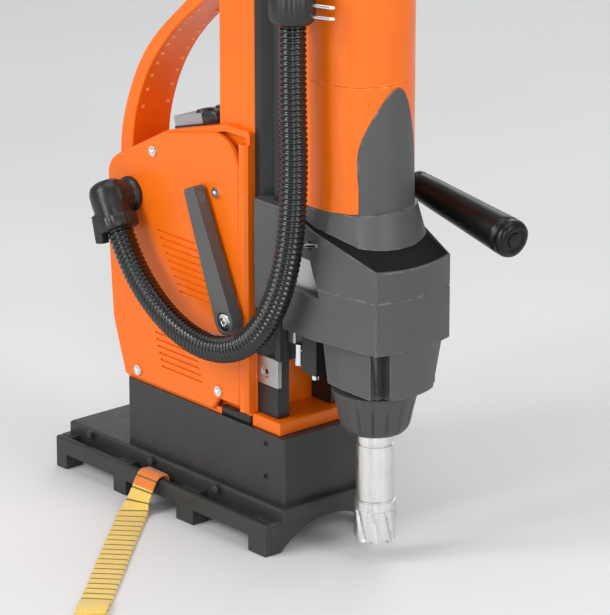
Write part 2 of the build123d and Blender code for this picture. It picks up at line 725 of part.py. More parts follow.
with BuildPart() as clamp_lever:
    with BuildSketch(Plane((lever_x, -lever_in, lever_z), x_dir=lever_dir, z_dir=(0, -1, 0))):
        with BuildLine():
            bottom_arc = ThreePointArc((0, -10), (-10, 0), (0, 10))
            Line(bottom_arc @ 1, (lever_length - 2, 6.2))
            Line((lever_length - 2, 6.2), (lever_length, 4.2))
            Line((lever_length, 4.2), (lever_length, -4.2))
            Line((lever_length, -4.2), (lever_length - 2, -6.2))
            Line((lever_length - 2, -6.2), bottom_arc @ 0)
        make_face()
    extrude(amount=lever_face - lever_in)
    with BuildSketch(Plane.XZ.offset(cover_out + 0.4)):
        with Locations((lever_x, lever_z)):
            Circle(7)
    extrude(amount=lever_in - cover_out - 0.4)
    with BuildSketch(Plane.XZ.offset(lever_face)):
        with Locations((lever_x, lever_z)):
            Circle(7)
    extrude(amount=-6, mode=Mode.SUBTRACT)
    with BuildSketch(Plane.XZ.offset(cover_out)):
        with Locations((lever_x, lever_z)):
            Circle(4)
    extrude(amount=12, mode=Mode.SUBTRACT)
clamp_lever.part.label = "clamp_lever"

with BuildPart() as lever_screw:
    with BuildSketch(Plane.XZ.offset(lever_face - 6)):
        with Locations((lever_x, lever_z)):
            Circle(6.4)
    extrude(amount=5.4)
    with BuildSketch(Plane.XZ.offset(lever_face - 0.6)):
        with Locations((lever_x, lever_z)):
            RegularPolygon(3, 6)
    extrude(amount=-3.5, mode=Mode.SUBTRACT)
    with BuildSketch(Plane.XZ.offset(column_half - column_wall - 1)):
        with Locations((lever_x, lever_z)):
            Circle(4)
    extrude(amount=lever_face - 6 - column_half + column_wall + 1)
lever_screw.part.label = "lever_screw"

# ---- carriage -----------------------------------------------------------------------------------
arm_face = column_half + slide_play
ridge_tip = column_half - groove_depth + slide_play * sqrt(2)
ridge_width = arm_face - ridge_tip
gib_depth = 2.0

with BuildPart() as slide_plate:
    with BuildSketch(Plane.XY.offset(slide_bottom)):
        with Locations(((plate_back + plate_face) / 2, 0)):
            Rectangle(plate_face - plate_back, 2 * slide_half)
    extrude(amount=slide_top - slide_bottom)
    chamfer(slide_plate.edges().filter_by(Axis.Z), 1)
    with BuildSketch(Plane.XY.offset(390)):
        with Locations(((plate_face + carriage_front) / 2, 0)):
            Rectangle(carriage_front - plate_face, 40)
    extrude(amount=60)
slide_plate.part.label = "slide_plate"

with BuildPart() as carriage:
    with BuildSketch(Plane.XY.offset(carriage_bottom)):
        with Locations(((carriage_rear + carriage_front) / 2, 0)):
            Rectangle(carriage_front - carriage_rear, 2 * carriage_half)
        with Locations(((carriage_rear + plate_face) / 2, 0)):
            Rectangle(plate_face - carriage_rear, 2 * arm_face, mode=Mode.SUBTRACT)
        with Locations((groove_x, arm_face + gib_depth / 2)):
            Rectangle(2 * groove_depth, gib_depth, mode=Mode.SUBTRACT)
        draw_polygon([
            (groove_x - ridge_width, -arm_face),
            (groove_x, -ridge_tip),
            (groove_x + ridge_width, -arm_face),
        ])
    extrude(amount=carriage_top - carriage_bottom)
    chamfer(
        carriage.edges().filter_by(Axis.Z).filter_by(lambda e: abs(e.center().Y) > carriage_half - 0.1),
        1.2,
    )
carriage.part.label = "carriage"

with BuildPart() as gib_strip:
    with BuildSketch(Plane.XY.offset(carriage_bottom)):
        draw_polygon([
            (groove_x - groove_depth, arm_face + gib_depth),
            (groove_x + groove_depth, arm_face + gib_depth),
            (groove_x + groove_depth, arm_face),
            (groove_x + ridge_width, arm_face),
            (groove_x, ridge_tip),
            (groove_x - ridge_width, arm_face),
            (groove_x - groove_depth, arm_face),
        ])
    extrude(amount=carriage_top - carriage_bottom)
gib_strip.part.label = "gib_strip"

rack_pitch = pi * feed_module
rack_tip = rack_line - 0.75 * feed_module
rack_root = rack_line + 1.05 * feed_module

with BuildPart() as rack:
    with BuildSketch(Plane.XZ.offset(rack_half)):
        with BuildLine():
            low_teeth = int((pinion_z - rack_bottom) / rack_pitch - 1)
            high_teeth = int((rack_top - pinion_z) / rack_pitch - 1)
            half_line = 0.84 * rack_pitch / 4
            half_tip = half_line - 0.75 * feed_module * tan(radians(20))
            half_root = half_line + 1.05 * feed_module * tan(radians(20))
            rack_points = [(plate_back, rack_bottom), (rack_root, rack_bottom)]
            for k in range(-low_teeth, high_teeth):
                tooth_z = pinion_z + (k + 0.5) * rack_pitch
                rack_points += [
                    (rack_root, tooth_z - half_root),
                    (rack_tip, tooth_z - half_tip),
                    (rack_tip, tooth_z + half_tip),
                    (rack_root, tooth_z + half_root),
                ]
            rack_points += [(rack_root, rack_top), (plate_back, rack_top)]
            Polyline(*rack_points, close=True)
        make_face()
    extrude(amount=-2 * rack_half)
rack.part.label = "rack"

# ---- motor --------------------------------------------------------------------------------------
stator_r, rotor_r = 30.0, 19.0
stator_bottom, stator_top = 300.0, 360.0

with BuildPart() as motor_housing:
    with BuildSketch(Plane.XY.offset(collar_top)):
        draw_motor()
        with Locations((motor_x, 0)):
            Circle(stator_r, mode=Mode.SUBTRACT)
    extrude(amount=motor_seam - collar_top)
motor_housing.part.label = "motor_housing"

with BuildPart() as motor_cap:
    with BuildSketch(Plane.XY.offset(motor_seam)):
        draw_motor()
    extrude(amount=motor_top - 12 - motor_seam)
    extrude(motor_cap.faces().sort_by(Axis.Z)[-1], amount=12, taper=30)
    with BuildSketch(Plane.XY.offset(motor_seam)):
        with Locations((motor_x, 0)):
            Circle(stator_r)
    extrude(amount=cap_bottom - motor_seam, mode=Mode.SUBTRACT)
    with BuildSketch(Plane.XY.offset(cap_bottom)):
        with Locations((motor_x, 0)):
            Circle(9)
    extrude(amount=10, mode=Mode.SUBTRACT)
motor_cap.part.label = "motor_cap"

with BuildPart() as stator:
    with BuildSketch(Plane.XY.offset(stator_bottom)):
        with Locations((motor_x, 0)):
            Circle(stator_r)
            Circle(rotor_r + 0.5, mode=Mode.SUBTRACT)
    extrude(amount=stator_top - stator_bottom)
    for end in (stator_bottom - 10, stator_top):
        with BuildSketch(Plane.XY.offset(end)):
            with Locations((motor_x, 0)):
                Circle(stator_r - 2)
                Circle(rotor_r + 2, mode=Mode.SUBTRACT)
        extrude(amount=10)
stator.part.label = "stator"

with BuildPart() as rotor:
    with BuildSketch(Plane.XY.offset(204.5)):
        draw_gear(train_module, rotor_teeth, 180, (motor_x, 0))
    extrude(amount=9)
    with BuildSketch(Plane.XY.offset(204.5)):
        with Locations((motor_x, 0)):
            Circle(3)
    extrude(amount=20)
    with BuildSketch(Plane.XY.offset(213.5)):
        with Locations((motor_x, 0)):
            Circle(shaft_r)
    extrude(amount=246)
    with BuildSketch(Plane.XY.offset(stator_bottom)):
        with Locations((motor_x, 0)):
            Circle(rotor_r)
    extrude(amount=stator_top - stator_bottom)
    with BuildSketch(Plane.XY.offset(386)):
        with Locations((motor_x, 0)):
            Circle(12)
    extrude(amount=18)
    with BuildSketch(Plane.XY.offset(274)):
        with Locations((motor_x, 0)):
            Circle(28)
    extrude(amount=2)
    with BuildSketch(Plane.XY.offset(276)):
        with Locations((motor_x, 0)):
            Circle(8)
            with PolarLocations(17, 9):
                Rectangle(20, 1.6, rotation=25)
    extrude(amount=8)
rotor.part.label = "rotor"

# ---- gear box -----------------------------------------------------------------------------------
def draw_casing(front, corner, flank, rear, origin_x=0.0, slope=0.0):
    """Cross-section of the lower casings: bowed front, straight flanks and a flat rear."""
    stretch = sqrt(1 + slope * slope)

    def at(x, y):
        return ((x - origin_x) * stretch, y)

    right_side = [at(*corner), at(*flank), at(*rear)]
    left_side = [(x, -y) for x, y in reversed(right_side)]
    with BuildLine() as line:
        ThreePointArc(left_side[-1], at(front, 0), right_side[0])
        Polyline(*right_side, *left_side)
    make_face(line.edges())


def slab(plane, above):
    """A large block with one face on a plane, above or below it."""
    with BuildPart() as block:
        with BuildSketch(plane):
            Rectangle(600, 300)
        extrude(amount=200 if above else -200)
    return block.part


with BuildPart() as gear_housing:
    with BuildSketch(Plane.XY.offset(box_bottom)):
        draw_casing(155.0, (149.0, 35.0), (92.0, 45.0), (carriage_front, 44.0))
    extrude(amount=100)
    add(slab(housing_cut, True), mode=Mode.SUBTRACT)
    add(slab(collar_cut, True), mode=Mode.SUBTRACT)
    with BuildSketch(Plane.XY.offset(chamber_bottom)):
        with Locations(((chamber_rear + chamber_front) / 2, 0)):
            RectangleRounded(chamber_front - chamber_rear, 2 * chamber_half, 6)
    extrude(amount=chamber_top - chamber_bottom, mode=Mode.SUBTRACT)
    with BuildSketch(Plane.XY.offset(chamber_top)):
        with Locations((spindle_x, 0)):
            Circle(top_bearing_r)
        with Locations((layshaft_x, 0)):
            Circle(lay_bearing_r)
    extrude(amount=8, mode=Mode.SUBTRACT)
    with BuildSketch(Plane.XY.offset(chamber_bottom)):
        with Locations((layshaft_x, 0)):
            Circle(lay_bearing_r)
    extrude(amount=-7, mode=Mode.SUBTRACT)
    with BuildSketch(Plane.XY.offset(box_bottom)):
        with Locations((spindle_x, 0)):
            Circle(13)
    extrude(amount=10, mode=Mode.SUBTRACT)
    with BuildSketch(Plane.XY.offset(chamber_top)):
        with Locations((motor_x, 0)):
            Circle(6)
    extrude(amount=50, mode=Mode.SUBTRACT)
    with BuildSketch(Plane.XY.offset(rotor_seat)):
        with Locations((motor_x, 0)):
            Circle(rotor_bearing_r)
    extrude(amount=40, mode=Mode.SUBTRACT)
    for side in (1, -1):
        with BuildSketch(Plane.XZ.offset(side * notch_depth)):
            draw_polygon(notch_outline)
        extrude(amount=side * 12, mode=Mode.SUBTRACT)
gear_housing.part.label = "gear_housing"

with BuildPart() as side_plates:
    for side in (1, -1):
        with BuildSketch(Plane.XZ.offset(side * notch_depth)):
            draw_polygon(notch_outline)
        extrude(amount=side * 4)
side_plates.part.label = "side_plates"

with BuildPart() as seal_band:
    with BuildSketch(housing_cut):
        draw_casing(153.0, (147.5, 34.0), (92.0, 43.8), (62.0, 43.0), 149.0, housing_slope)
    with BuildSketch(collar_cut):
        draw_casing(137.5, (125.5, 30.0), (90.0, 40.0), (62.0, 36.0), 135.0, collar_slope)
    loft()
    with BuildSketch(Plane.XY.offset(230)):
        with Locations((motor_x, 0)):
            Circle(rotor_bearing_r)
    extrude(amount=60, mode=Mode.SUBTRACT)
seal_band.part.label = "seal_band"

with BuildPart() as front_tongue:
    with BuildSketch(Plane.YZ.offset(100)):
        with BuildLine():
            Spline(
                (-tongue_near, collar_top), (-20.5, tongue_top - 24), (2.5, tongue_top),
                (15.5, tongue_top - 24), (tongue_far, collar_top),
                tangents=[(0.05, 1), (0.08, -1)],
            )
            Line((tongue_far, collar_top), (-tongue_near, collar_top))
        make_face()
    extrude(amount=40)
    with BuildSketch(Plane.XY.offset(collar_top)):
        draw_motor()
        offset(amount=tongue_proud)
    extrude(amount=100, mode=Mode.INTERSECT)
    with BuildSketch(Plane.XY.offset(collar_top)):
        draw_motor()
    extrude(amount=100, mode=Mode.SUBTRACT)

with BuildPart() as gear_collar:
    with BuildSketch(collar_cut):
        draw_casing(139.0, (127.0, 31.5), (90.0, 41.5), (carriage_front, 37.0), 135.0, collar_slope)
    with BuildSketch(Plane.XY.offset(collar_top)):
        draw_casing(133.0, (117.5, 31.3), (90.0, 39.6), (carriage_front, 36.0))
    loft()
    with BuildSketch(Plane.XY.offset(230)):
        with Locations((motor_x, 0)):
            Circle(12)
    extrude(amount=collar_top - 230, mode=Mode.SUBTRACT)
    add(front_tongue.part)
gear_collar.part.label = "gear_collar"

with BuildPart() as gear_nose:
    with BuildSketch(Plane.XY.offset(nose_bottom)):
        draw_casing(149.5, (143.5, 24.5), (102.0, 28.5), (88.0, 27.0))
    with BuildSketch(Plane.XY.offset(nose_top)):
        draw_casing(153.5, (147.5, 29.0), (102.0, 30.0), (84.0, 29.0))
    loft()
    # a raised panel on each flank and a recess in the near front corner
    for side in (1, -1):
        with BuildSketch(Plane.XZ.offset(side * 20)):
            with Locations((121.5, (nose_bottom + nose_top) / 2)):
                Rectangle(34, nose_top - nose_bottom - 2)
        extrude(amount=side * 11)
    with BuildSketch(Plane.YZ.offset(nose_recess)):
        with Locations((-28.7, (nose_bottom + nose_top) / 2 - 1)):
            Rectangle(10, nose_top - nose_bottom)
    extrude(amount=20, mode=Mode.SUBTRACT)
    with BuildSketch(Plane.XY.offset(nose_bottom)):
        with Locations((spindle_x, 0)):
            Circle(14)
    extrude(amount=3, mode=Mode.SUBTRACT)
    with BuildSketch(Plane.XY.offset(nose_bottom + 2)):
        with Locations((spindle_x, 0)):
            Circle(low_bearing_r)
    extrude(amount=nose_top - nose_bottom - 2, mode=Mode.SUBTRACT)
gear_nose.part.label = "gear_nose"


def bearing_solid(x, inner, outer, bottom, height):
    """A ball bearing drawn as a plain ring about a vertical axis."""
    with BuildPart() as ring:
        with BuildSketch(Plane.XY.offset(bottom)):
            with Locations((x, 0)):
                Circle(outer)
                Circle(inner + shaft_play, mode=Mode.SUBTRACT)
        extrude(amount=height)
    return ring.part


with BuildPart() as ball_bearings:
    add(bearing_solid(spindle_x, spindle_r, low_bearing_r, nose_bottom + 2, 10))
    add(bearing_solid(spindle_x, spindle_r, low_bearing_r, nose_top - 10, 10))
    add(bearing_solid(spindle_x, journal_r, top_bearing_r, chamber_top, 8))
    add(bearing_solid(layshaft_x, shaft_r, lay_bearing_r, chamber_bottom - 7, 7))
    add(bearing_solid(layshaft_x, shaft_r, lay_bearing_r, chamber_top, 8))
    add(bearing_solid(motor_x, shaft_r, rotor_bearing_r, rotor_seat, 8))
    add(bearing_solid(motor_x, shaft_r, rotor_bearing_r, cap_bottom, 8))
ball_bearings.part.label = "ball_bearings"

with BuildPart() as layshaft:
    with BuildSketch(Plane.XY.offset(low_gear_z)):
        draw_gear(train_module, lay_small_teeth, 0, (layshaft_x, 0))
    extrude(amount=10)
    with BuildSketch(Plane.XY.offset(high_gear_z)):
        draw_gear(train_module, lay_big_teeth, 180 / lay_big_teeth, (layshaft_x, 0))
    extrude(amount=8)
    with BuildSketch(Plane.XY.offset(chamber_bottom - 6.5)):
        with Locations((layshaft_x, 0)):
            Circle(shaft_r)
    extrude(amount=chamber_top + 14 - chamber_bottom)
layshaft.part.label = "layshaft"

with BuildPart() as spindle:
    with BuildSketch(Plane.XY.offset(holder_top)):
        with Locations((spindle_x, 0)):
            Circle(spindle_r)
    extrude(amount=100)
    with BuildSketch(Plane.XY.offset(holder_top + 100)):
        with Locations((spindle_x, 0)):
            Circle(journal_r)
    extrude(amount=chamber_top + 7.5 - holder_top - 100)
    with BuildSketch(Plane.XY.offset(low_gear_z)):
        draw_gear(train_module, spindle_teeth, 180 + 180 / spindle_teeth, (spindle_x, 0))
    extrude(amount=10)
    with BuildSketch(Plane.XY.offset(holder_top)):
        with Locations((spindle_x, 0)):
            Circle(tool_shank_r)
    extrude(amount=tool_shank_length, mode=Mode.SUBTRACT)
spindle.part.label = "spindle"

# ---- tool ---------------------------------------------------------------------------------------
with BuildPart() as release_ring:
    with BuildSketch(Plane.XZ):
        with BuildLine():
            Polyline(
                (spindle_x + ring_bore, ring_bottom), (spindle_x + ring_foot, ring_bottom),
                (spindle_x + 25.5, ring_bottom + 5), (spindle_x + 27.5, ring_bottom + 15),
                (spindle_x + ring_rim, ring_top - 2), (spindle_x + ring_rim, ring_top),
                (spindle_x + spindle_r + shaft_play, ring_top),
                (spindle_x + spindle_r + shaft_play, holder_top + 0.2),
                (spindle_x + ring_bore, holder_top + 0.2), (spindle_x + ring_bore, ring_bottom),
            )
        make_face()
    revolve(axis=Axis((spindle_x, 0, 0), (0, 0, 1)))
    with BuildSketch(Plane.XY.offset(ring_bottom - 1)):
        with Locations((spindle_x, 0)):
            with PolarLocations(ring_rim, 16):
                Circle(2.4)
    extrude(amount=ring_top - ring_bottom - 4, mode=Mode.SUBTRACT)
release_ring.part.label = "release_ring"

with BuildPart() as annular_cutter:
    with BuildSketch(Plane.XY.offset(cutter_top)):
        with Locations((spindle_x, 0)):
            Circle(holder_r)
    extrude(amount=holder_top - cutter_top)
    with BuildSketch(Plane.XY.offset(holder_top)):
        with Locations((spindle_x, 0)):
            Circle(tool_shank_r)
    extrude(amount=tool_shank_length - 2)
    with BuildSketch(Plane.XY.offset(cutter_step)):
        with Locations((spindle_x, 0)):
            Circle(cutter_r)
    extrude(amount=cutter_top - cutter_step)
    with BuildSketch(Plane.XY.offset(cutter_bottom)):
        with Locations((spindle_x, 0)):
            Circle(cutter_tip_r)
    extrude(amount=cutter_step - cutter_bottom)
    with BuildSketch(Plane.XY.offset(cutter_bottom)):
        with Locations((spindle_x, 0)):
            Circle(cutter_bore_r)
    extrude(amount=50, mode=Mode.SUBTRACT)
    with BuildSketch(Plane.XY.offset(cutter_bottom)):
        with Locations((spindle_x, 0)):
            Circle(pilot_r + shaft_play)
    extrude(amount=holder_top + tool_shank_length - cutter_bottom, mode=Mode.SUBTRACT)
    with BuildSketch(Plane.XY.offset(cutter_bottom)):
        with Locations((spindle_x, 0)):
            with PolarLocations(cutter_tip_r, 4, start_angle=20):
                Circle(1.6)
    extrude(amount=30, mode=Mode.SUBTRACT)
    for z in groove_zs:
        with BuildSketch(Plane.XY.offset(z)):
            with Locations((spindle_x, 0)):
                Circle(cutter_tip_r + 1)
                Circle(cutter_tip_r - 0.7, mode=Mode.SUBTRACT)
        extrude(amount=1, mode=Mode.SUBTRACT)
annular_cutter.part.label = "annular_cutter"

with BuildPart() as pilot_pin:
    with BuildSketch(Plane.XY.offset(cutter_bottom + 2)):
        with Locations((spindle_x, 0)):
            Circle(pilot_r)
    extrude(amount=72)
    chamfer(pilot_pin.faces().sort_by(Axis.Z)[0].edges(), 1.2)
pilot_pin.part.label = "pilot_pin"

# ---- fittings on the moving head ----------------------------------------------------------------
nipple_x, nipple_z = 91.0, 244.0

with BuildPart() as coolant_nipple:
    with BuildSketch(Plane((nipple_x, -45, nipple_z), z_dir=(0, -1, 0))):
        RegularPolygon(3.5, 6)
    extrude(amount=2)
    with BuildSketch(Plane((nipple_x - 4, -46.8, nipple_z - 1), z_dir=(0.9, 0, 0.2))):
        Circle(1.6)
    extrude(amount=12)
coolant_nipple.part.label = "coolant_nipple"

guard_x, guard_y, guard_bottom = 66.0, -20.0, 136.0

with BuildPart() as guard_bracket:
    with BuildSketch(Plane.XY.offset(guard_bottom)):
        with Locations((guard_x, guard_y)):
            Rectangle(16, 12)
            Circle(2.5, mode=Mode.SUBTRACT)
    extrude(amount=box_bottom - guard_bottom)
    with BuildSketch(Plane.YZ.offset(guard_x - 9)):
        with Locations((guard_y, guard_bottom + 14)):
            Circle(2)
    extrude(amount=6, mode=Mode.SUBTRACT)
guard_bracket.part.label = "guard_bracket"

with BuildPart() as guard_pins:
    with BuildSketch(Plane.XY.offset(guard_bottom - 5)):
        with Locations((guard_x, guard_y)):
            Circle(2.5)
    extrude(amount=10)
    with BuildSketch(Plane.YZ.offset(guard_x - 17)):
        with Locations((guard_y, guard_bottom + 14)):
            Circle(2)
    extrude(amount=13)
    with BuildSketch(Plane.XY.offset(guard_bottom + 2)):
        with Locations((guard_x - 17, guard_y)):
            Circle(4)
    extrude(amount=16)
guard_pins.part.label = "guard_pins"

outlet_x, outlet_y = conduit_route[-1][0], conduit_route[-1][1]

with BuildPart() as motor_elbow:
    with BuildSketch(Plane.XY.offset(nut_bottom)):
        with Locations((outlet_x, outlet_y)):
            Circle(nut_r)
    extrude(amount=nut_top - nut_bottom)
    chamfer(motor_elbow.edges(), 2.5)
    with BuildSketch(Plane.XY.offset(nut_top)):
        with Locations((outlet_x, outlet_y)):
            Circle(12)
    extrude(amount=outlet_z - nut_top)
    with Locations((outlet_x, outlet_y, outlet_z)):
        Sphere(12)
    with BuildSketch(Plane.XZ.offset(-outlet_y)):
        with Locations((outlet_x, outlet_z)):
            Circle(12)
    extrude(amount=-28)
    with BuildSketch(Plane.XY.offset(outlet_z - 40)):
        draw_motor()
    extrude(amount=80, mode=Mode.SUBTRACT)
motor_elbow.part.label = "motor_elbow"

# ---- conduit and its lower elbow ----------------------------------------------------------------
conduit_points = [Vector(*p) for p in conduit_route]
conduit_runs = [b - a for a, b in zip(conduit_points, conduit_points[1:])]
bend_radii = []
for first, second in zip(conduit_runs, conduit_runs[1:]):
    half_turn = radians(first.get_angle(second)) / 2
    bend_radii.append(0.45 * min(first.length, second.length) / tan(half_turn))

with BuildPart() as conduit:
    with BuildLine() as conduit_line:
        FilletPolyline(*conduit_points, radius=bend_radii)
    with BuildSketch(Plane(conduit_points[0], z_dir=conduit_runs[0])):
        Circle(conduit_r)
    sweep(path=conduit_line.wires()[0])
conduit.part.label = "conduit"

outlet_dir = conduit_runs[0].normalized()

with BuildPart() as elbow_gland:
    with BuildSketch(Plane(conduit_points[0] - outlet_dir * 32, z_dir=outlet_dir)):
        Circle(14)
    extrude(amount=32)
    fillet(elbow_gland.faces().sort_by(Axis.Z)[-1].edges(), 5)
    with BuildSketch(Plane(conduit_points[0] - outlet_dir * 9, z_dir=outlet_dir)):
        Circle(15)
    extrude(amount=9)
    with BuildSketch(Plane.XZ.offset(cover_out)):
        with Locations((elbow_x, elbow_z)):
            Circle(13)
    extrude(amount=4)
    with BuildSketch(Plane.XZ.offset(shell_half - 2)):
        with Locations((elbow_x, elbow_z)):
            Circle(9)
    extrude(amount=20)
    with BuildSketch(Plane.XY.offset(199)):
        with Locations((-118.5, -69)):
            Rectangle(8, 6)
    extrude(amount=20)
elbow_gland.part.label = "elbow_gland"


# ---- webbing ------------------------------------------------------------------------------------
def webbing(side, run):
    """A flat strap that leaves its bar through the slot, crosses the rail and lies on the floor."""
    across = Plane(origin=(strap_x, 0, 0), x_dir=(0, side, 0), z_dir=(side, 0, 0))
    with BuildPart() as strap:
        with BuildSketch(across):
            with BuildLine() as strap_line:
                FilletPolyline(
                    (strap_rise_y, bar_z + bar_r + 0.05), (strap_rise_y, rail_top + 1.1),
                    (rail_out + 1.4, rail_top + 1.1), (rail_out + 5.5, strap_thick / 2),
                    (strap_turn_y, strap_thick / 2),
                    radius=[1.05, 1.5, 4],
                )
            trace(strap_line.edges(), line_width=strap_thick)
        extrude(amount=strap_width / 2, both=True)
        turn = Vector(strap_x, side * strap_turn_y, 0)
        course = Vector(-side * strap_course[0], -side * strap_course[1], 0)
        with BuildSketch(Plane(turn, x_dir=course)):
            Circle(strap_width / 2)
            with Locations((run / 2, 0)):
                Rectangle(run, strap_width)
        extrude(amount=strap_thick)
    return strap.part


with BuildPart() as left_strap:
    add(webbing(-1, strap_run))
left_strap.part.label = "left_strap"

with BuildPart() as right_strap:
    add(webbing(1, far_strap_run))
right_strap.part.label = "right_strap"

# ---- export -------------------------------------------------------------------------------------
pieces = [
    base_plate, saddle_ribs, strap_bars, left_rail, right_rail, base_screws, magnet_housing,
    foot_set_screws, magnet_core, magnet_coil, stand_shell, column, left_cover, right_cover,
    cover_screws, carry_handle, front_flange, guide_rails, guide_end_plates, end_bumpers,
    control_panel, start_button, stop_button, magnet_button, circuit_board, mains_gland,
    pinion_bushes, pinion_shaft, feed_hub, spokes, grips, clamp_lever, lever_screw, slide_plate,
    carriage, gib_strip, rack, motor_housing, motor_cap, stator, rotor, gear_housing, side_plates,
    seal_band, gear_collar, gear_nose, ball_bearings, layshaft, spindle,
    release_ring, annular_cutter, pilot_pin, coolant_nipple, guard_bracket, guard_pins,
    motor_elbow, conduit, elbow_gland, left_strap, right_strap,
]
print("conduit bend radii, mm:", [round(r, 1) for r in bend_radii])
print("conduit length, mm:", round(conduit_line.wires()[0].length, 1))
for piece in pieces:
    export_step(piece.part, f"parts/{piece.part.label}.step")
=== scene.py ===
import math
from math import cos, pi, sin

import bmesh
import bpy
from mathutils import Matrix, Vector
from mathutils.bvhtree import BVHTree


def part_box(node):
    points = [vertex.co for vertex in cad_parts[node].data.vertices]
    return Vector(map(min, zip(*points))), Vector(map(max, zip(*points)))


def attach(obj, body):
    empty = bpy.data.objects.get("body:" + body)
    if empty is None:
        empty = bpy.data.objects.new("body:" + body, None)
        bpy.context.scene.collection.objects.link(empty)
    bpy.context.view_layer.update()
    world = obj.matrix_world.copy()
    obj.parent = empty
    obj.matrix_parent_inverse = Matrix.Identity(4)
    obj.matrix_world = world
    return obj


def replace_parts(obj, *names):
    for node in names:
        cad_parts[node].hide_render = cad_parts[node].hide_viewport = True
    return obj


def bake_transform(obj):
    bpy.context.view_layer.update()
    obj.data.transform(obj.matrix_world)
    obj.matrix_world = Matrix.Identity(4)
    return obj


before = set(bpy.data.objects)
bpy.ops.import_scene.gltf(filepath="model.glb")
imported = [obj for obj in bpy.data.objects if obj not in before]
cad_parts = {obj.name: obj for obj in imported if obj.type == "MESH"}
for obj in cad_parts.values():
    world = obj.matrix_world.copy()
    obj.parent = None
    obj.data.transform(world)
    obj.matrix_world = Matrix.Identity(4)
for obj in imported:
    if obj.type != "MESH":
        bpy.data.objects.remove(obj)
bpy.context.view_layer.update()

# ---- camera -------------------------------------------------------------------------------------
azimuth, elevation = math.radians(49.407), math.radians(18.771)
aim = Vector((0.03896, 0.0, 0.16722))
camera_distance = 3.04926


def make_camera():
    """The reference view: low three-quarter view of the drilling side, with a long lens."""
    data = bpy.data.cameras.new("camera")
    data.sensor_fit = "HORIZONTAL"
    data.sensor_width = 36.0
    data.lens = 247.26
    data.shift_x, data.shift_y = -0.0113, 0.0153
    data.clip_start, data.clip_end = 0.05, 100.0
    camera = bpy.data.objects.new("camera", data)
    bpy.context.scene.collection.objects.link(camera)
    back = Vector((sin(azimuth) * cos(elevation), -cos(azimuth) * cos(elevation), sin(elevation)))
    camera.location = aim + back * camera_distance
    camera.rotation_mode = "QUATERNION"
    camera.rotation_quaternion = (-back).to_track_quat("-Z", "Y")
    bpy.context.scene.camera = camera


make_camera()


# ---- materials ----------------------------------------------------------------------------------
class Nodes:
    """A material's node tree, with short calls for the few nodes that the finishes share."""

    def __init__(self, name):
        self.material = bpy.data.materials.new(name)
        self.material.use_nodes = True
        self.tree = self.material.node_tree
        self.shader = self.tree.nodes["Principled BSDF"]
        self.place = self.tree.nodes.new("ShaderNodeTexCoord").outputs["Object"]

    def link(self, output, socket):
        self.tree.links.new(output, socket)

    def stretched(self, scale):
        """The object's coordinates, scaled along each axis."""
        mapping = self.tree.nodes.new("ShaderNodeMapping")
        mapping.inputs["Scale"].default_value = scale
        self.link(self.place, mapping.inputs["Vector"])
        return mapping.outputs["Vector"]

    def noise(self, size, detail=3.0, vector=None):
        """Soft noise whose blotches are about size metres across."""
        node = self.tree.nodes.new("ShaderNodeTexNoise")
        node.inputs["Scale"].default_value = 1.0 / size
        node.inputs["Detail"].default_value = detail
        self.link(vector or self.place, node.inputs["Vector"])
        return node.outputs["Fac"]

    def ranged(self, value, low, high, start=0.3, stop=0.7):
        """The value's run from start to stop, spread over low to high and held there outside it."""
        node = self.tree.nodes.new("ShaderNodeMapRange")
        node.inputs["From Min"].default_value = start
        node.inputs["From Max"].default_value = stop
        node.inputs["To Min"].default_value = low
        node.inputs["To Max"].default_value = high
        self.link(value, node.inputs["Value"])
        return node.outputs["Result"]

    def math(self, operation, first, second):
        node = self.tree.nodes.new("ShaderNodeMath")
        node.operation = operation
        for socket, value in zip(node.inputs, (first, second)):
            if isinstance(value, (int, float)):
                socket.default_value = value
            else:
                self.link(value, socket)
        return node.outputs["Value"]

    def mixed(self, factor, first, second):
        """A colour between two colours, each a tuple or another node's output."""
        node = self.tree.nodes.new("ShaderNodeMix")
        node.data_type = "RGBA"
        self.link(factor, node.inputs["Factor"])
        for socket, value in ((node.inputs["A"], first), (node.inputs["B"], second)):
            if isinstance(value, tuple):
                socket.default_value = (*value, 1.0)
            else:
                self.link(value, socket)
        return node.outputs["Result"]

    def edges(self, width):
        """1 along the outer edges within width of them, 0 on the open faces, broken up by noise."""
        bevel = self.tree.nodes.new("ShaderNodeBevel")
        bevel.samples = 4
        bevel.inputs["Radius"].default_value = width
        plain = self.tree.nodes.new("ShaderNodeNewGeometry").outputs["Normal"]
        turn = self.tree.nodes.new("ShaderNodeVectorMath")
        turn.operation = "DOT_PRODUCT"
        self.link(bevel.outputs["Normal"], turn.inputs[0])
        self.link(plain, turn.inputs[1])
        worn_and_highlight = self.ranged(turn.outputs["Value"], 1.0, 0.0, 0.9, 0.995)
        return self.math("MULTIPLY", worn_and_highlight, self.ranged(self.noise(0.006, 4.0), 0.0, 1.0, 0.42, 0.62))

    def bump(self, height, depth):
        node = self.tree.nodes.new("ShaderNodeBump")
        node.inputs["Distance"].default_value = depth
        self.link(height, node.inputs["Height"])
        self.link(node.outputs["Normal"], self.shader.inputs["Normal"])

    def colour(self, output):
        self.link(output, self.shader.inputs["Base Color"])

    def roughness(self, output):
        self.link(output, self.shader.inputs["Roughness"])


def scaled(colour, factor):
    """A lighter or darker version of a colour."""
    return tuple(min(1.0, c * factor) for c in colour)


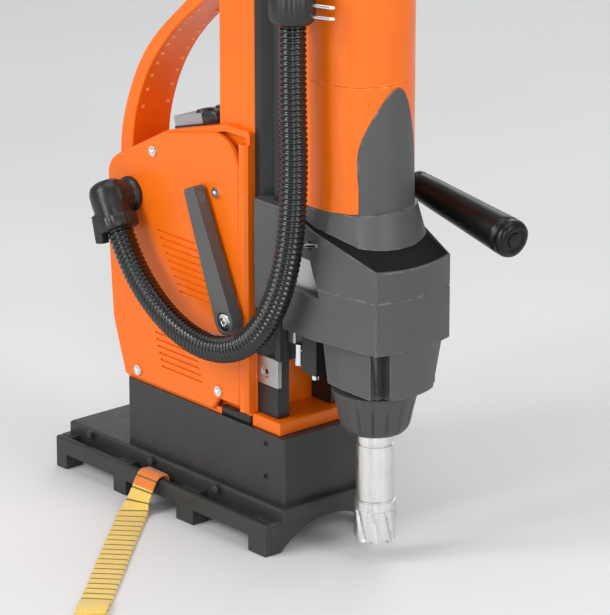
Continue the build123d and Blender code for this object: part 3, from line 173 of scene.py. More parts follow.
def coated(name, colour, rough, grain=0.0004, depth=0.00001, wear_and_highlight=0.3, worn_and_highlight=None, coat=0.0, tint=0.06,
           metallic=0.0, specular=0.5, edge=0.0009):
    """Paint or moulded plastic: faint blotches, fine grain, and edges made lighter by wear and, where the
    strength is high, by a painted highlight.
    """
    nodes = Nodes(name)
    nodes.shader.inputs["Metallic"].default_value = metallic
    nodes.shader.inputs["Coat Weight"].default_value = coat
    nodes.shader.inputs["Coat Roughness"].default_value = 0.08
    nodes.shader.inputs["Specular IOR Level"].default_value = specular
    blotches = nodes.ranged(nodes.noise(0.05), 0.0, 1.0)
    body = nodes.mixed(blotches, scaled(colour, 1 - tint), scaled(colour, 1 + tint))
    # edges lighter from wear and, in some finishes, from a painted highlight
    rubbed_and_highlit = nodes.math("MULTIPLY", nodes.edges(edge), wear_and_highlight)
    nodes.colour(nodes.mixed(rubbed_and_highlit, body, worn_and_highlight or scaled(colour, 1.8)))
    fine = nodes.noise(grain, 2.0)
    smears = nodes.ranged(nodes.noise(0.02, 5.0), rough - 0.05, rough + 0.07)
    nodes.roughness(nodes.math("ADD", smears, nodes.ranged(fine, -0.03, 0.03)))
    nodes.bump(fine, depth)
    return nodes.material


def machined(name, colour, rough, along=(1.0, 1.0, 12.0), depth=0.000008, tint=0.12, grain=0.003):
    """Bare metal with fine cutting marks that run across the stretched axis."""
    nodes = Nodes(name)
    nodes.shader.inputs["Metallic"].default_value = 1.0
    marks = nodes.noise(grain, 6.0, nodes.stretched(along))
    stains = nodes.noise(0.025, 4.0)
    body = nodes.mixed(nodes.ranged(marks, 0.0, 1.0), scaled(colour, 1 - tint), scaled(colour, 1 + tint))
    nodes.colour(nodes.mixed(nodes.ranged(stains, 0.0, 0.35, 0.5, 0.8), body, scaled(colour, 0.7)))
    nodes.roughness(nodes.ranged(marks, rough - 0.06, rough + 0.1))
    nodes.bump(marks, depth)
    return nodes.material


def webbing_cloth(name, colour, rib):
    """Polyester webbing: fine weave threads over the modelled ribs, a little soiled."""
    nodes = Nodes(name)
    nodes.shader.inputs["Sheen Weight"].default_value = 0.3
    nodes.shader.inputs["Sheen Roughness"].default_value = 0.5
    weave = nodes.tree.nodes.new("ShaderNodeTexVoronoi")
    weave.inputs["Scale"].default_value = 1.0 / rib
    nodes.link(nodes.place, weave.inputs["Vector"])
    threads = weave.outputs["Distance"]
    soil = nodes.ranged(nodes.noise(0.03, 5.0), 0.0, 0.3, 0.5, 0.8)
    body = nodes.mixed(nodes.ranged(threads, 0.0, 1.0, 0.0, 0.8), colour, scaled(colour, 0.78))
    nodes.colour(nodes.mixed(soil, body, scaled(colour, 0.62)))
    nodes.roughness(nodes.ranged(threads, 0.62, 0.85, 0.0, 0.8))
    nodes.bump(threads, 0.0002)
    return nodes.material


orange = (0.84, 0.150, 0.004)
worn_orange = (1.0, 0.36, 0.08)
grey = (0.070, 0.072, 0.070)
finish = {
    "powder_orange": coated("powder_orange", orange, 0.36, 0.0012, 0.00003, 0.25, worn_orange, 0.08,
                            specular=0.3),
    "moulded_orange": coated("moulded_orange", orange, 0.32, 0.0006, 0.00001, 0.2, worn_orange, 0.08,
                             specular=0.3),
    # the motor's strong pale edges are a painted highlight along its creases and edges
    "motor_orange": coated("motor_orange", orange, 0.30, 0.0006, 0.00001, 0.9, (1.0, 0.46, 0.16), 0.1,
                           specular=0.35, edge=0.0016),
    # a pale orange that paints the highlights on the handle's bumps
    "painted_highlight_orange": coated("painted_highlight_orange", (0.95, 0.36, 0.13), 0.35, specular=0.3),
    # cast grey's pale edges are wear made strong enough to paint a highlight along the casting's corners
    "cast_grey": coated("cast_grey", grey, 0.42, 0.0008, 0.00003, 0.6, (0.36, 0.36, 0.35), edge=0.0012),
    # base grey's pale edges are wear made strong enough to paint a highlight along the base's edges
    "base_grey": coated("base_grey", scaled(grey, 0.36), 0.42, 0.001, 0.00004, 0.55, (0.20, 0.20, 0.195)),
    "lever_grey": coated("lever_grey", scaled(grey, 1.1), 0.34, 0.0008, 0.00002, 0.35, (0.24, 0.24, 0.24)),
    "ring_grey": coated("ring_grey", scaled(grey, 0.75), 0.40, 0.0005, 0.00001, 0.3, (0.15, 0.15, 0.15)),
    "black_plastic": coated("black_plastic", (0.014, 0.014, 0.015), 0.36, 0.0007, 0.00002, 0.3,
                            (0.06, 0.06, 0.06)),
    "grip_black": coated("grip_black", (0.004, 0.0042, 0.004), 0.30, 0.0008, 0.00002, 0.1,
                         (0.02, 0.02, 0.02), specular=0.3),
    "seal_black": coated("seal_black", (0.006, 0.006, 0.006), 0.55, 0.0008, 0.00003, 0.1,
                         (0.02, 0.02, 0.02), specular=0.15),
    "black_rubber": coated("black_rubber", (0.010, 0.010, 0.011), 0.30, 0.0009, 0.00004, 0.2,
                           (0.05, 0.05, 0.05)),
    "black_conduit": coated("black_conduit", (0.004, 0.004, 0.0045), 0.15, 0.001, 0.000002, 0.0,
                            (0.05, 0.05, 0.05), 0.15, specular=0.6),
    "black_steel": coated("black_steel", (0.022, 0.024, 0.024), 0.38, 0.0006, 0.00002, 0.4,
                          (0.14, 0.14, 0.14), metallic=0.3),
    "steel": machined("steel", (0.50, 0.50, 0.50), 0.30),
    "tool_steel": machined("tool_steel", (0.80, 0.80, 0.79), 0.30, (1.0, 1.0, 0.15), 1e-7, 0.04, 0.002),
    "chrome": machined("chrome", (0.80, 0.80, 0.81), 0.12, (1.0, 1.0, 1.0), 0.000003, 0.05),
    "aluminium": machined("aluminium", (0.50, 0.50, 0.50), 0.34, (12.0, 1.0, 1.0), 0.000003, 0.08),
    "iron": machined("iron", (0.22, 0.22, 0.22), 0.55),
    "bronze": machined("bronze", (0.52, 0.34, 0.14), 0.34),
    "copper": machined("copper", (0.60, 0.27, 0.13), 0.32, (1.0, 1.0, 40.0)),
    "board": coated("board", (0.02, 0.15, 0.06), 0.35),
    "webbing": webbing_cloth("webbing", (0.86, 0.60, 0.12), 0.0009),
    # the darker webbing is painted shade for the valleys, the orange webbing a painted reflection of the
    # orange body
    "webbing_valley_shade": webbing_cloth("webbing_valley_shade", (0.20, 0.115, 0.02), 0.0007),
    "webbing_orange_reflection": webbing_cloth("webbing_orange_reflection", (0.82, 0.20, 0.015), 0.0009),
}

carried = {
    "powder_orange": ["stand_shell", "column", "carry_handle", "front_flange"],
    "moulded_orange": ["left_cover", "right_cover"],
    "motor_orange": ["motor_housing", "motor_cap"],
    "cast_grey": ["carriage", "gear_housing", "gear_collar", "gear_nose"],
    "base_grey": ["base_plate", "saddle_ribs", "left_rail", "right_rail", "magnet_housing"],
    "lever_grey": ["clamp_lever"],
    "ring_grey": ["release_ring"],
    "black_plastic": ["end_bumpers", "start_button", "stop_button", "magnet_button", "mains_gland",
                      "guard_bracket", "feed_hub"],
    "grip_black": ["grips"],
    "seal_black": ["seal_band"],
    "black_rubber": ["motor_elbow", "elbow_gland"],
    "black_steel": ["guide_rails", "foot_set_screws"],
    "steel": ["strap_bars", "base_screws", "pinion_shaft", "slide_plate", "rack", "rotor",
              "ball_bearings", "layshaft", "spindle"],
    "tool_steel": ["annular_cutter", "pilot_pin"],
    "chrome": ["cover_screws", "spokes", "lever_screw", "coolant_nipple", "guard_pins"],
    "aluminium": ["guide_end_plates", "side_plates", "control_panel"],
    "iron": ["magnet_core", "stator"],
    "bronze": ["pinion_bushes", "gib_strip"],
    "copper": ["magnet_coil"],
    "board": ["circuit_board"],
    "webbing": ["left_strap", "right_strap"],
    "black_conduit": ["conduit"],
}


def paint(piece, finish_name):
    """Gives a piece one finish in place of the ones it has."""
    piece.data.materials.clear()
    piece.data.materials.append(finish[finish_name])


for finish_name, names in carried.items():
    for node_name in names:
        paint(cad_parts[node_name], finish_name)


# ---- mesh helpers -------------------------------------------------------------------------------
def route_line(points):
    """The smooth line of a NURBS curve whose control points are the route's points."""
    data = bpy.data.curves.new("route", "CURVE")
    data.dimensions = "3D"
    data.resolution_u = 32
    spline = data.splines.new("NURBS")
    spline.points.add(len(points) - 1)
    for place, point in zip(points, spline.points):
        point.co = (*place, 1.0)
    spline.order_u = 3
    spline.use_endpoint_u = True
    holder = bpy.data.objects.new("route", data)
    mesh = bpy.data.meshes.new_from_object(holder)
    line = [v.co.copy() for v in mesh.vertices]
    bpy.data.meshes.remove(mesh)
    bpy.data.curves.remove(data)
    return line


def evenly(line, step):
    """The same line, read off at equal steps."""
    total = sum((b - a).length for a, b in zip(line, line[1:]))
    count = max(2, round(total / step))
    places, walked, index = [line[0].copy()], 0.0, 0
    for k in range(1, count):
        target = total * k / count
        while walked + (line[index + 1] - line[index]).length < target:
            walked += (line[index + 1] - line[index]).length
            index += 1
        part = (target - walked) / (line[index + 1] - line[index]).length
        places.append(line[index].lerp(line[index + 1], part))
    places.append(line[-1].copy())
    return places


def tangents(line):
    """The line's direction at each of its points."""
    ends = [line[0]] + line[:-1], line[1:] + [line[-1]]
    return [(after - before).normalized() for before, after in zip(*ends)]


class Form:
    """A mesh built up from lathed, swept and boxed bodies, then made into one piece."""

    def __init__(self):
        self.bm = bmesh.new()

    def rings(self, rows, closed_ends=True):
        """Joins rows of points, each row a closed ring, into a skin."""
        made = [[self.bm.verts.new(p) for p in row] for row in rows]
        for low, high in zip(made, made[1:]):
            for k in range(len(low)):
                follow = (k + 1) % len(low)
                self.bm.faces.new((low[k], low[follow], high[follow], high[k]))
        if closed_ends:
            self.bm.faces.new(list(reversed(made[0])))
            self.bm.faces.new(made[-1])

    def lathe(self, base, axis, profile, sides=48, shape=None):
        """Turns (radius, height) points about an axis; shape(radius, height, angle) may move them."""
        axis = Vector(axis).normalized()
        across = axis.orthogonal().normalized()
        up = axis.cross(across)
        rows = []
        for radius, height in profile:
            row = []
            for k in range(sides):
                angle = 2 * pi * k / sides
                r, h = shape(radius, height, angle) if shape else (radius, height)
                row.append(Vector(base) + axis * h + (across * cos(angle) + up * sin(angle)) * r)
            rows.append(row)
        self.rings(rows)

    def hoop(self, base, axis, profile, sides=48, shape=None):
        """As lathe, for a closed profile that doesn't reach the axis."""
        count = len(self.bm.verts)
        self.lathe(base, axis, profile + profile[:1], sides, shape)
        self.bm.verts.ensure_lookup_table()
        self.bm.faces.ensure_lookup_table()
        caps = [f for f in self.bm.faces if len(f.verts) == sides and sides > 4]
        bmesh.ops.delete(self.bm, geom=caps[-2:], context="FACES_ONLY")
        fresh = list(self.bm.verts)[count:]
        bmesh.ops.remove_doubles(self.bm, verts=fresh, dist=1e-7)

    def tube(self, line, radius_at, sides=32):
        """A round tube along a line; radius_at(distance along it) gives its radius."""
        along = tangents(line)
        across = along[0].orthogonal().normalized()
        rows, walked, last = [], 0.0, line[0]
        for place, way in zip(line, along):
            walked += (place - last).length
            last = place
            across = (across - way * across.dot(way)).normalized()
            up = way.cross(across)
            r = radius_at(walked)
            turns = [2 * pi * k / sides for k in range(sides)]
            rows.append([place + (across * cos(a) + up * sin(a)) * r for a in turns])
        self.rings(rows)

    def block(self, centre, size, turn=None):
        """A box; its edges are rounded by the piece's bevel."""
        made = bmesh.ops.create_cube(self.bm, size=1.0)["verts"]
        place = Matrix.Translation(Vector(centre)) @ (turn or Matrix.Identity(4))
        for v in made:
            v.co = place @ Vector(c * s for c, s in zip(v.co, size))

    def dome(self, place, normal, radius, height):
        """A low round bump standing on a surface."""
        steps = [(cos(pi / 2 * k / 4), sin(pi / 2 * k / 4)) for k in range(4)]
        profile = [(radius, -height)] + [(radius * c, height * h) for c, h in steps]
        self.lathe(place, normal, profile + [(radius * 0.05, height)], 14)

    def piece(self, name, finish_name, body, bevel=0.0, smooth=35.0, fuse=0.0, relax=0):
        """Makes the piece, rounds its edges and rides it on a body."""
        bmesh.ops.recalc_face_normals(self.bm, faces=self.bm.faces)
        mesh = bpy.data.meshes.new(name)
        self.bm.to_mesh(mesh)
        self.bm.free()
        piece = bpy.data.objects.new(name, mesh)
        bpy.context.scene.collection.objects.link(piece)
        if fuse:
            remesh = piece.modifiers.new("fuse", "REMESH")
            remesh.mode = "VOXEL"
            remesh.voxel_size = fuse
        if relax:
            ease = piece.modifiers.new("relax", "SMOOTH")
            ease.iterations = relax
        if bevel:
            add_bevel(piece, bevel, 3, 30.0)
        settle(piece)
        piece.data.polygons.foreach_set("use_smooth", [True] * len(piece.data.polygons))
        if not fuse:
            piece.data.set_sharp_from_angle(angle=math.radians(smooth))
        paint(piece, finish_name)
        if body:
            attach(piece, body)
        return piece


def settle(piece):
    """Applies a piece's modifiers."""
    if piece.modifiers:
        view = bpy.context.evaluated_depsgraph_get()
        done = bpy.data.meshes.new_from_object(piece.evaluated_get(view))
        piece.modifiers.clear()
        piece.data = done
        done.name = piece.name


def add_bevel(piece, width, segments, sharpest):
    """Rounds the edges where two faces meet at more than sharpest degrees."""
    bevel = piece.modifiers.new("bevel", "BEVEL")
    bevel.width = width
    bevel.segments = segments
    bevel.limit_method = "ANGLE"
    bevel.angle_limit = math.radians(sharpest)
    bevel.harden_normals = True
    bevel.miter_outer = "MITER_ARC"


# ---- rounded edges on the carried nodes ---------------------------------------------------------
def round_edges(piece, width, segments=3, sharpest=32.0):
    """Gives a piece smooth shading and real rounded edges of the given width."""
    with bpy.context.temp_override(object=piece, active_object=piece, selected_objects=[piece]):
        bpy.ops.mesh.customdata_custom_splitnormals_clear()
    piece.data.polygons.foreach_set("use_smooth", [True] * len(piece.data.polygons))
    weld = piece.modifiers.new("weld", "WELD")
    weld.merge_threshold = 0.00001
    flat = piece.modifiers.new("flat", "DECIMATE")
    flat.decimate_type = "DISSOLVE"
    flat.angle_limit = math.radians(0.4)
    add_bevel(piece, width, segments, sharpest)


edge_widths = {
    0.0040: ["carry_handle"],
    0.0020: ["clamp_lever"],
    0.0015: ["stand_shell", "carriage"],
    0.0010: ["left_cover", "right_cover", "base_plate", "left_rail", "right_rail", "magnet_housing", "column",
             "front_flange", "saddle_ribs", "guard_bracket", "end_bumpers", "seal_band"],
    0.0005: ["guide_rails", "guide_end_plates", "slide_plate", "side_plates", "gib_strip", "mains_gland",
             "feed_hub", "lever_screw", "cover_screws", "pinion_bushes"],
}
for edge_width, names in edge_widths.items():
    for node_name in names:
        round_edges(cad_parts[node_name], edge_width)
for node_name in ("motor_housing", "motor_cap", "gear_collar"):
    round_edges(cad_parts[node_name], 0.0008, 3, 12.0)


def grooved_copy(node_name, height, width, depth, finish_name, body):
    """A copy of a carried node with a fine groove run round it at a height."""
    piece = bpy.data.objects.new(node_name + "_grooved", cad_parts[node_name].data.copy())
    bpy.context.scene.collection.objects.link(piece)
    bm = bmesh.new()
    bm.from_mesh(piece.data)
    bmesh.ops.remove_doubles(bm, verts=bm.verts, dist=1e-5)
    for level in (height - width / 2, height, height + width / 2):
        parts = list(bm.verts) + list(bm.edges) + list(bm.faces)
        bmesh.ops.bisect_plane(bm, geom=parts, plane_co=(0, 0, level), plane_no=(0, 0, 1))
    bm.normal_update()
    for v in bm.verts:
        if abs(v.co.z - height) < 1e-6:
            v.co -= Vector((v.normal.x, v.normal.y, 0)).normalized() * depth
    for face in bm.faces:
        face.material_index = int(abs(face.calc_center_median().z - height) < width / 2)
    bm.to_mesh(piece.data)
    bm.free()
    round_edges(piece, 0.0020, 3, 32.0)
    piece.data.materials.clear()
    for each in (finish_name, "seal_black"):
        piece.data.materials.append(finish[each])
    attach(piece, body)
    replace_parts(piece, node_name)


grooved_copy("gear_housing", 0.212, 0.0012, 0.0006, "cast_grey", "head")


def make_nose():
    """The nose with its near front corner cut back along the casing's slope."""
    piece = bpy.data.objects.new("recessed_nose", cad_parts["gear_nose"].data.copy())
    bpy.context.scene.collection.objects.link(piece)
    levels = ((0.1340, 0.1385, -0.0185), (0.1715, 0.1425, -0.0225))    # height, rear wall, inner wall
    front, outside = 0.17, -0.05
    corners = [(x, y, z) for z, rear, inner in levels
               for x, y in ((rear, outside), (front, outside), (front, inner), (rear, inner))]
    sides = [(3, 2, 1, 0), (4, 5, 6, 7), (0, 1, 5, 4), (1, 2, 6, 5), (2, 3, 7, 6), (3, 0, 4, 7)]
    tool_mesh = bpy.data.meshes.new("corner")
    tool_mesh.from_pydata(corners, [], sides)
    tool = bpy.data.objects.new("corner", tool_mesh)
    bpy.context.scene.collection.objects.link(tool)
    weld = piece.modifiers.new("weld", "WELD")
    weld.merge_threshold = 0.00001
    cut = piece.modifiers.new("cut", "BOOLEAN")
    cut.operation = "DIFFERENCE"
    cut.solver = "EXACT"
    cut.object = tool
    settle(piece)
    bpy.data.objects.remove(tool)
    piece.data.materials.clear()
    for each in ("cast_grey", "base_grey"):
        piece.data.materials.append(finish[each])
    # the cut's two walls get the darker base grey as painted shade in the recess
    for face in piece.data.polygons:
        x, y, z = face.center
        on_inner_wall = abs(face.normal.y) > 0.9 and -0.0235 < y < -0.0175 and x > 0.139
        on_rear_wall = face.normal.x > 0.9 and 0.138 < x < 0.1432 and y < -0.018
        face.material_index = int((on_inner_wall or on_rear_wall) and z < 0.1725)
    round_edges(piece, 0.0012)
    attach(piece, "head")
    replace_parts(piece, "gear_nose")


make_nose()


# ---- conduit ------------------------------------------------------------------------------------
conduit_route = [
    (-0.1095, -0.0604, 0.2110), (-0.0980, -0.0615, 0.1930), (-0.0740, -0.0640, 0.1725),
    (-0.0436, -0.0660, 0.1565), (-0.0104, -0.0670, 0.1485), (0.0200, -0.0670, 0.1510),
    (0.0460, -0.0665, 0.1630), (0.0670, -0.0650, 0.1860), (0.0810, -0.0630, 0.2165),
    (0.0883, -0.0610, 0.2545), (0.0906, -0.0602, 0.3040), (0.0881, -0.0600, 0.3570),
    (0.0881, -0.0600, 0.4080),
]
conduit_r, conduit_rib, conduit_pitch = 0.0100, 0.0013, 0.0040


def corrugated_radius(distance):
    """Rounded ribs with narrow valleys between them."""
    wave = cos(2 * pi * distance / conduit_pitch)
    return conduit_r - conduit_rib * (0.5 - 0.5 * wave) ** 1.6


def make_conduit():
    """The corrugated tube from the stand's elbow to the motor's, which follows the head."""
    line = evenly(route_line(conduit_route), conduit_pitch / 8)
    form = Form()
    form.tube(line, corrugated_radius, 40)
    piece = form.piece("ribbed_conduit", "black_conduit", None, smooth=80.0)
    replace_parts(piece, "conduit")
    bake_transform(piece)


make_conduit()


# ---- webbing ------------------------------------------------------------------------------------
left_route = [
    (-0.0770, -0.0515, 0.0200), (-0.0770, -0.0515, 0.0245), (-0.0770, -0.0530, 0.0266),
    (-0.0770, -0.0580, 0.0270), (-0.0768, -0.0615, 0.0264), (-0.0766, -0.0650, 0.0224),
    (-0.0764, -0.0695, 0.0142), (-0.0758, -0.0742, 0.0068), (-0.0736, -0.0790, 0.0026),
    (-0.0672, -0.0864, 0.0013), (-0.0495, -0.1055, 0.0011), (-0.0185, -0.1392, 0.0011),
    (0.0130, -0.1725, 0.0011), (0.0405, -0.2020, 0.0011), (0.0640, -0.2275, 0.0011),
]
right_route = [
    (-0.0790, 0.0515, 0.0200), (-0.0790, 0.0515, 0.0245), (-0.0790, 0.0530, 0.0266),
    (-0.0790, 0.0580, 0.0270), (-0.0790, 0.0620, 0.0264), (-0.0790, 0.0636, 0.0222),
    (-0.0795, 0.0658, 0.0090), (-0.0800, 0.0685, 0.0026), (-0.0815, 0.0740, 0.0012),
    (-0.1030, 0.0990, 0.0011), (-0.1240, 0.1210, 0.0011), (-0.1430, 0.1430, 0.0011),
    (-0.1600, 0.1610, 0.0011),
]
strap_half, strap_thick, strap_pitch = 0.0115, 0.0022, 0.0094
strap_step = strap_pitch / 14
twist_start, twist_run = 0.030, 0.035       # where the strap turns from the slot's direction to its own
# how far along the strap the painted orange reflection of the body reaches
orange_reflection_run = 0.026


def strap_notch(distance):
    """1 in the narrow valley between two woven bars, 0 on a bar."""
    phase = (distance / strap_pitch) % 1.0
    return max(0.0, 1 - min(phase, 1 - phase) / 0.11)


def strap_rows(line):
    """The webbing's cross sections, turned from the slot's direction to the strap's own course."""
    course = (line[-1] - line[len(line) // 2]).normalized()
    settled = Vector((0, 0, 1)).cross(course).normalized()
    leaving = Vector((settled.x / abs(settled.x), 0, 0))
    across_steps = 12
    thin_from, thin_by = 0.86, 0.6          # the strap thins towards its two edges
    rows, walked, last = [], 0.0, line[0]
    for place, way in zip(line, tangents(line)):
        walked += (place - last).length
        last = place
        share = min(1.0, max(0.0, (walked - twist_start) / twist_run))
        across = leaving.lerp(settled, share * share * (3 - 2 * share))
        across = (across - way * across.dot(way)).normalized()
        up = across.cross(way)
        notch = strap_notch(walked)
        half = strap_half - 0.0004 * notch
        thick = strap_thick / 2 - 0.0006 * notch
        row = []
        for face in (1, -1):
            for k in range(across_steps + 1):
                share_across = -1 + 2 * k / across_steps
                edge = 1 - max(0.0, abs(share_across) - thin_from) / (1 - thin_from) * thin_by
                row.append(place + across * (half * share_across * face) + up * (thick * edge * face))
        rows.append(row)
    return rows


def make_hem(name, line):
    """The strap's end, folded over and held by two rows of stitches."""
    stitches, stitch_pitch = 9, 0.0022
    tip = Form()
    way = tangents(line)[-1]
    heading = math.atan2(way.y, way.x)
    turn = Matrix.Rotation(heading, 4, "Z")
    centre = line[-1] - way * 0.014
    tip.block(centre + Vector((0, 0, strap_thick * 0.8)), (0.024, 2 * strap_half - 0.001, 0.0016), turn)
    for row in (-0.009, 0.009):
        for k in range(stitches):
            offset = stitch_pitch * (k - stitches // 2)
            seat = centre + way * row + Vector((-way.y, way.x, 0)) * offset
            tip.block(seat + Vector((0, 0, strap_thick * 1.25)), (0.0005, 0.0014, 0.0005), turn)
    return tip.piece(name + "_hem", "webbing", "stand", bevel=0.0004)


def make_strap(name, node_name, route):
    """Woven webbing with crosswise bars, painted shade in the valleys between them and a painted orange
    reflection of the body on its first stretch.
    """
    line = evenly(route_line(route), strap_step)
    rows = strap_rows(line)
    form = Form()
    form.rings(rows)
    piece = form.piece(name, "webbing", "stand", smooth=60.0)
    for extra in ("webbing_valley_shade", "webbing_orange_reflection"):
        piece.data.materials.append(finish[extra])
    ring_size = len(rows[0])
    # valleys get painted shade, the first stretch the body's painted orange reflection
    for face in piece.data.polygons:
        station = sum(v // ring_size for v in face.vertices) / len(face.vertices)
        if strap_notch(station * strap_step) > 0.35:
            face.material_index = 1
        elif station * strap_step < orange_reflection_run:
            face.material_index = 2
    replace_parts(piece, node_name)
    hem = make_hem(name, line)


make_strap("near_webbing", "left_strap", left_route)
make_strap("far_webbing", "right_strap", right_route)


# ---- conduit elbows -----------------------------------------------------------------------------
def fluted(count, depth, low, high):
    """A lathe shape with upright grip grooves between two heights."""
    def shape(radius, height, angle):
        if not low <= height <= high:
            return radius, height
        wave = cos(count * angle)
        return radius - depth * max(0.0, wave) ** 3, height
    return shape


def make_lower_elbow():
    """The rubber elbow on the stand, with the grooved ring that grips the conduit's lower end."""
    mouth = Vector(conduit_route[0])
    up = (mouth - Vector(conduit_route[1])).normalized()
    body = Form()
    body.lathe(mouth, up, [
        (0.0120, 0.004), (0.0139, 0.0045), (0.0143, 0.014), (0.0146, 0.024), (0.0143, 0.030),
        (0.0125, 0.0345), (0.0090, 0.0370), (0.0040, 0.0380),
    ])
    neck = Vector((-0.118, -0.042, 0.233))
    body.lathe(neck, (0, -1, 0), [(0.0135, 0), (0.0135, 0.0035), (0.0112, 0.005), (0.0108, 0.012),
                                  (0.0115, 0.018)])
    body.block(mouth + Vector((-0.0095, -0.0105, -0.0005)), (0.009, 0.007, 0.021),
               Matrix.Rotation(math.radians(-14), 4, "Y"))
    elbow = body.piece("lower_elbow", "black_rubber", "stand", fuse=0.0008, relax=5)
    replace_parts(elbow, "elbow_gland")
    ring = Form()
    ring.lathe(mouth, up, [(0.0128, -0.0008), (0.0148, 0.0), (0.0154, 0.0012), (0.0154, 0.0078),
                           (0.0146, 0.0092), (0.0120, 0.0094)], 96, fluted(24, 0.0006, 0.0005, 0.0085))
    ring.piece("lower_elbow_ring", "black_plastic", "stand", smooth=50.0)


def make_upper_elbow():
    """The rubber elbow on the motor, its grooved nut and the two bright clips beside it."""
    low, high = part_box("motor_elbow")
    centre = Vector((conduit_route[-1][0], conduit_route[-1][1], low.z))
    nut_height = 0.022
    nut = Form()
    nut.lathe(centre, (0, 0, 1), [
        (0.0118, 0.0), (0.0135, 0.0002), (0.0158, 0.0030), (0.0165, 0.0060), (0.0165, nut_height - 0.002),
        (0.0155, nut_height), (0.0120, nut_height + 0.0004),
    ], 96, fluted(16, 0.0007, 0.004, nut_height - 0.002))
    nut.piece("upper_elbow_nut", "black_plastic", "head", smooth=50.0)
    bend = Form()
    top = centre + Vector((0, 0, high.z - low.z - 0.012))
    line = [centre + Vector((0, 0, 0.018)), centre + Vector((0, 0, 0.028)), top + Vector((0, 0.001, -0.001)),
            top + Vector((0, 0.008, 0)), top + Vector((0, 0.027, 0))]
    bend.tube(evenly(route_line(line), 0.002), lambda walked: 0.0116)
    bend.lathe(top + Vector((0, 0.016, 0)), (0, 1, 0), [(0.0130, 0), (0.0136, 0.001), (0.0136, 0.0055),
                                                        (0.0130, 0.0065)])
    bend.lathe(centre, (0, 0, 1), [(0.0128, nut_height), (0.0134, nut_height + 0.001),
                                   (0.0134, nut_height + 0.004), (0.0125, nut_height + 0.005)])
    elbow = bend.piece("upper_elbow", "black_rubber", "head", fuse=0.0008, relax=4)
    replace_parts(elbow, "motor_elbow")
    clips = Form()
    clip_profile = [(0.0012, 0), (0.0014, 0.001), (0.0014, 0.017), (0.0008, 0.018)]
    for lift in (0.006, 0.014):
        start = centre + Vector((0.012, 0.006, lift))
        clips.lathe(start, (0.82, 0.55, -0.05), clip_profile, 16)
    clips.piece("elbow_clips", "chrome", "head", smooth=40.0)


make_lower_elbow()
make_upper_elbow()


# ---- release ring and cutter --------------------------------------------------------------------
def make_release_ring():
    """The flared ring under the nose, with grip flutes that fade out below its rim."""
    low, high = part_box("release_ring")
    axis_x = (low.x + high.x) / 2
    profile = [
        (0.0136, 0.0000), (0.0200, 0.0000), (0.0218, 0.0008), (0.0240, 0.0034), (0.0254, 0.0060),
        (0.0266, 0.0110), (0.0275, 0.0160), (0.0291, 0.0225), (0.0303, 0.0275), (0.0311, 0.0300),
        (0.0314, 0.0311), (0.0313, 0.0322), (0.0307, 0.0327), (0.01105, 0.0327), (0.01105, 0.0042),
        (0.0136, 0.0042),
    ]
    count, depth = 16, 0.0014
    flute_low, flute_high, fade_run = 0.0005, 0.0285, 0.004
    inside = 0.018                          # points nearer the axis belong to the bore

    def flutes(radius, height, angle):
        if radius < inside or not flute_low < height < flute_high:
            return radius, height
        fade = min(1.0, (flute_high - height) / fade_run)
        return radius - depth * fade * max(0.0, cos(count * angle)) ** 6, height

    form = Form()
    form.hoop((axis_x, 0, low.z), (0, 0, 1), profile, 280, flutes)
    ring = form.piece("fluted_ring", "ring_grey", "ring", smooth=42.0)
    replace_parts(ring, "release_ring")


def make_cutter():
    """A core cutter: thin-walled tube with teeth at its foot and spiral flutes up its flank."""
    low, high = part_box("annular_cutter")
    axis_x = (low.x + high.x) / 2
    tall = high.z - low.z
    outer, inner, neck, bore = 0.0152, 0.0120, 0.0138, 0.00305
    scored, undercut = outer - 0.0007, neck - 0.0009
    teeth, flute_top, wall_top = 8, 0.0300, 0.0500
    twist_per_metre, gullet_half, gullet_depth, gullet_run = 22.0, 0.17, 0.0014, 0.008
    tooth_rise = 0.0034
    heights = [0.0, 0.0015, 0.0040, 0.0080, 0.0120, 0.0160, 0.0200, 0.0240]
    profile = [(outer, h) for h in heights]
    profile += [(outer, 0.0243), (scored, 0.0246), (scored, 0.0251), (outer, 0.0254)]
    profile += [(outer, 0.0300), (outer, 0.0312), (scored, 0.0315), (scored, 0.0321)]
    profile += [(neck, 0.0326), (neck, 0.0741), (undercut, 0.0746), (undercut, 0.0757)]
    profile += [(0.0136, 0.0762), (0.0136, 0.0870), (0.0130, 0.0880), (0.0080, 0.0883), (0.0080, tall)]
    profile += [(bore, tall), (bore, wall_top), (inner, wall_top), (inner, 0.0015), (inner, 0.0)]

    def cut(radius, height, angle):
        """Sinks the spiral flutes into the flank and slopes each tooth along the foot."""
        twist = angle + height * twist_per_metre
        phase = (twist * teeth / (2 * pi)) % 1.0
        if radius > scored and height < flute_top:
            gullet = max(0.0, 1 - abs(phase - 0.5) / gullet_half)
            radius -= gullet_depth * min(1.0, gullet * 1.6) * min(1.0, (flute_top - height) / gullet_run)
        if height < 0.0002 and radius > 0.010:
            height += tooth_rise * phase
        return radius, height

    form = Form()
    form.hoop((axis_x, 0, low.z), (0, 0, 1), profile, 192, cut)
    cutter = form.piece("toothed_cutter", "tool_steel", "spindle", smooth=38.0)
    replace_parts(cutter, "annular_cutter")


make_release_ring()
make_cutter()


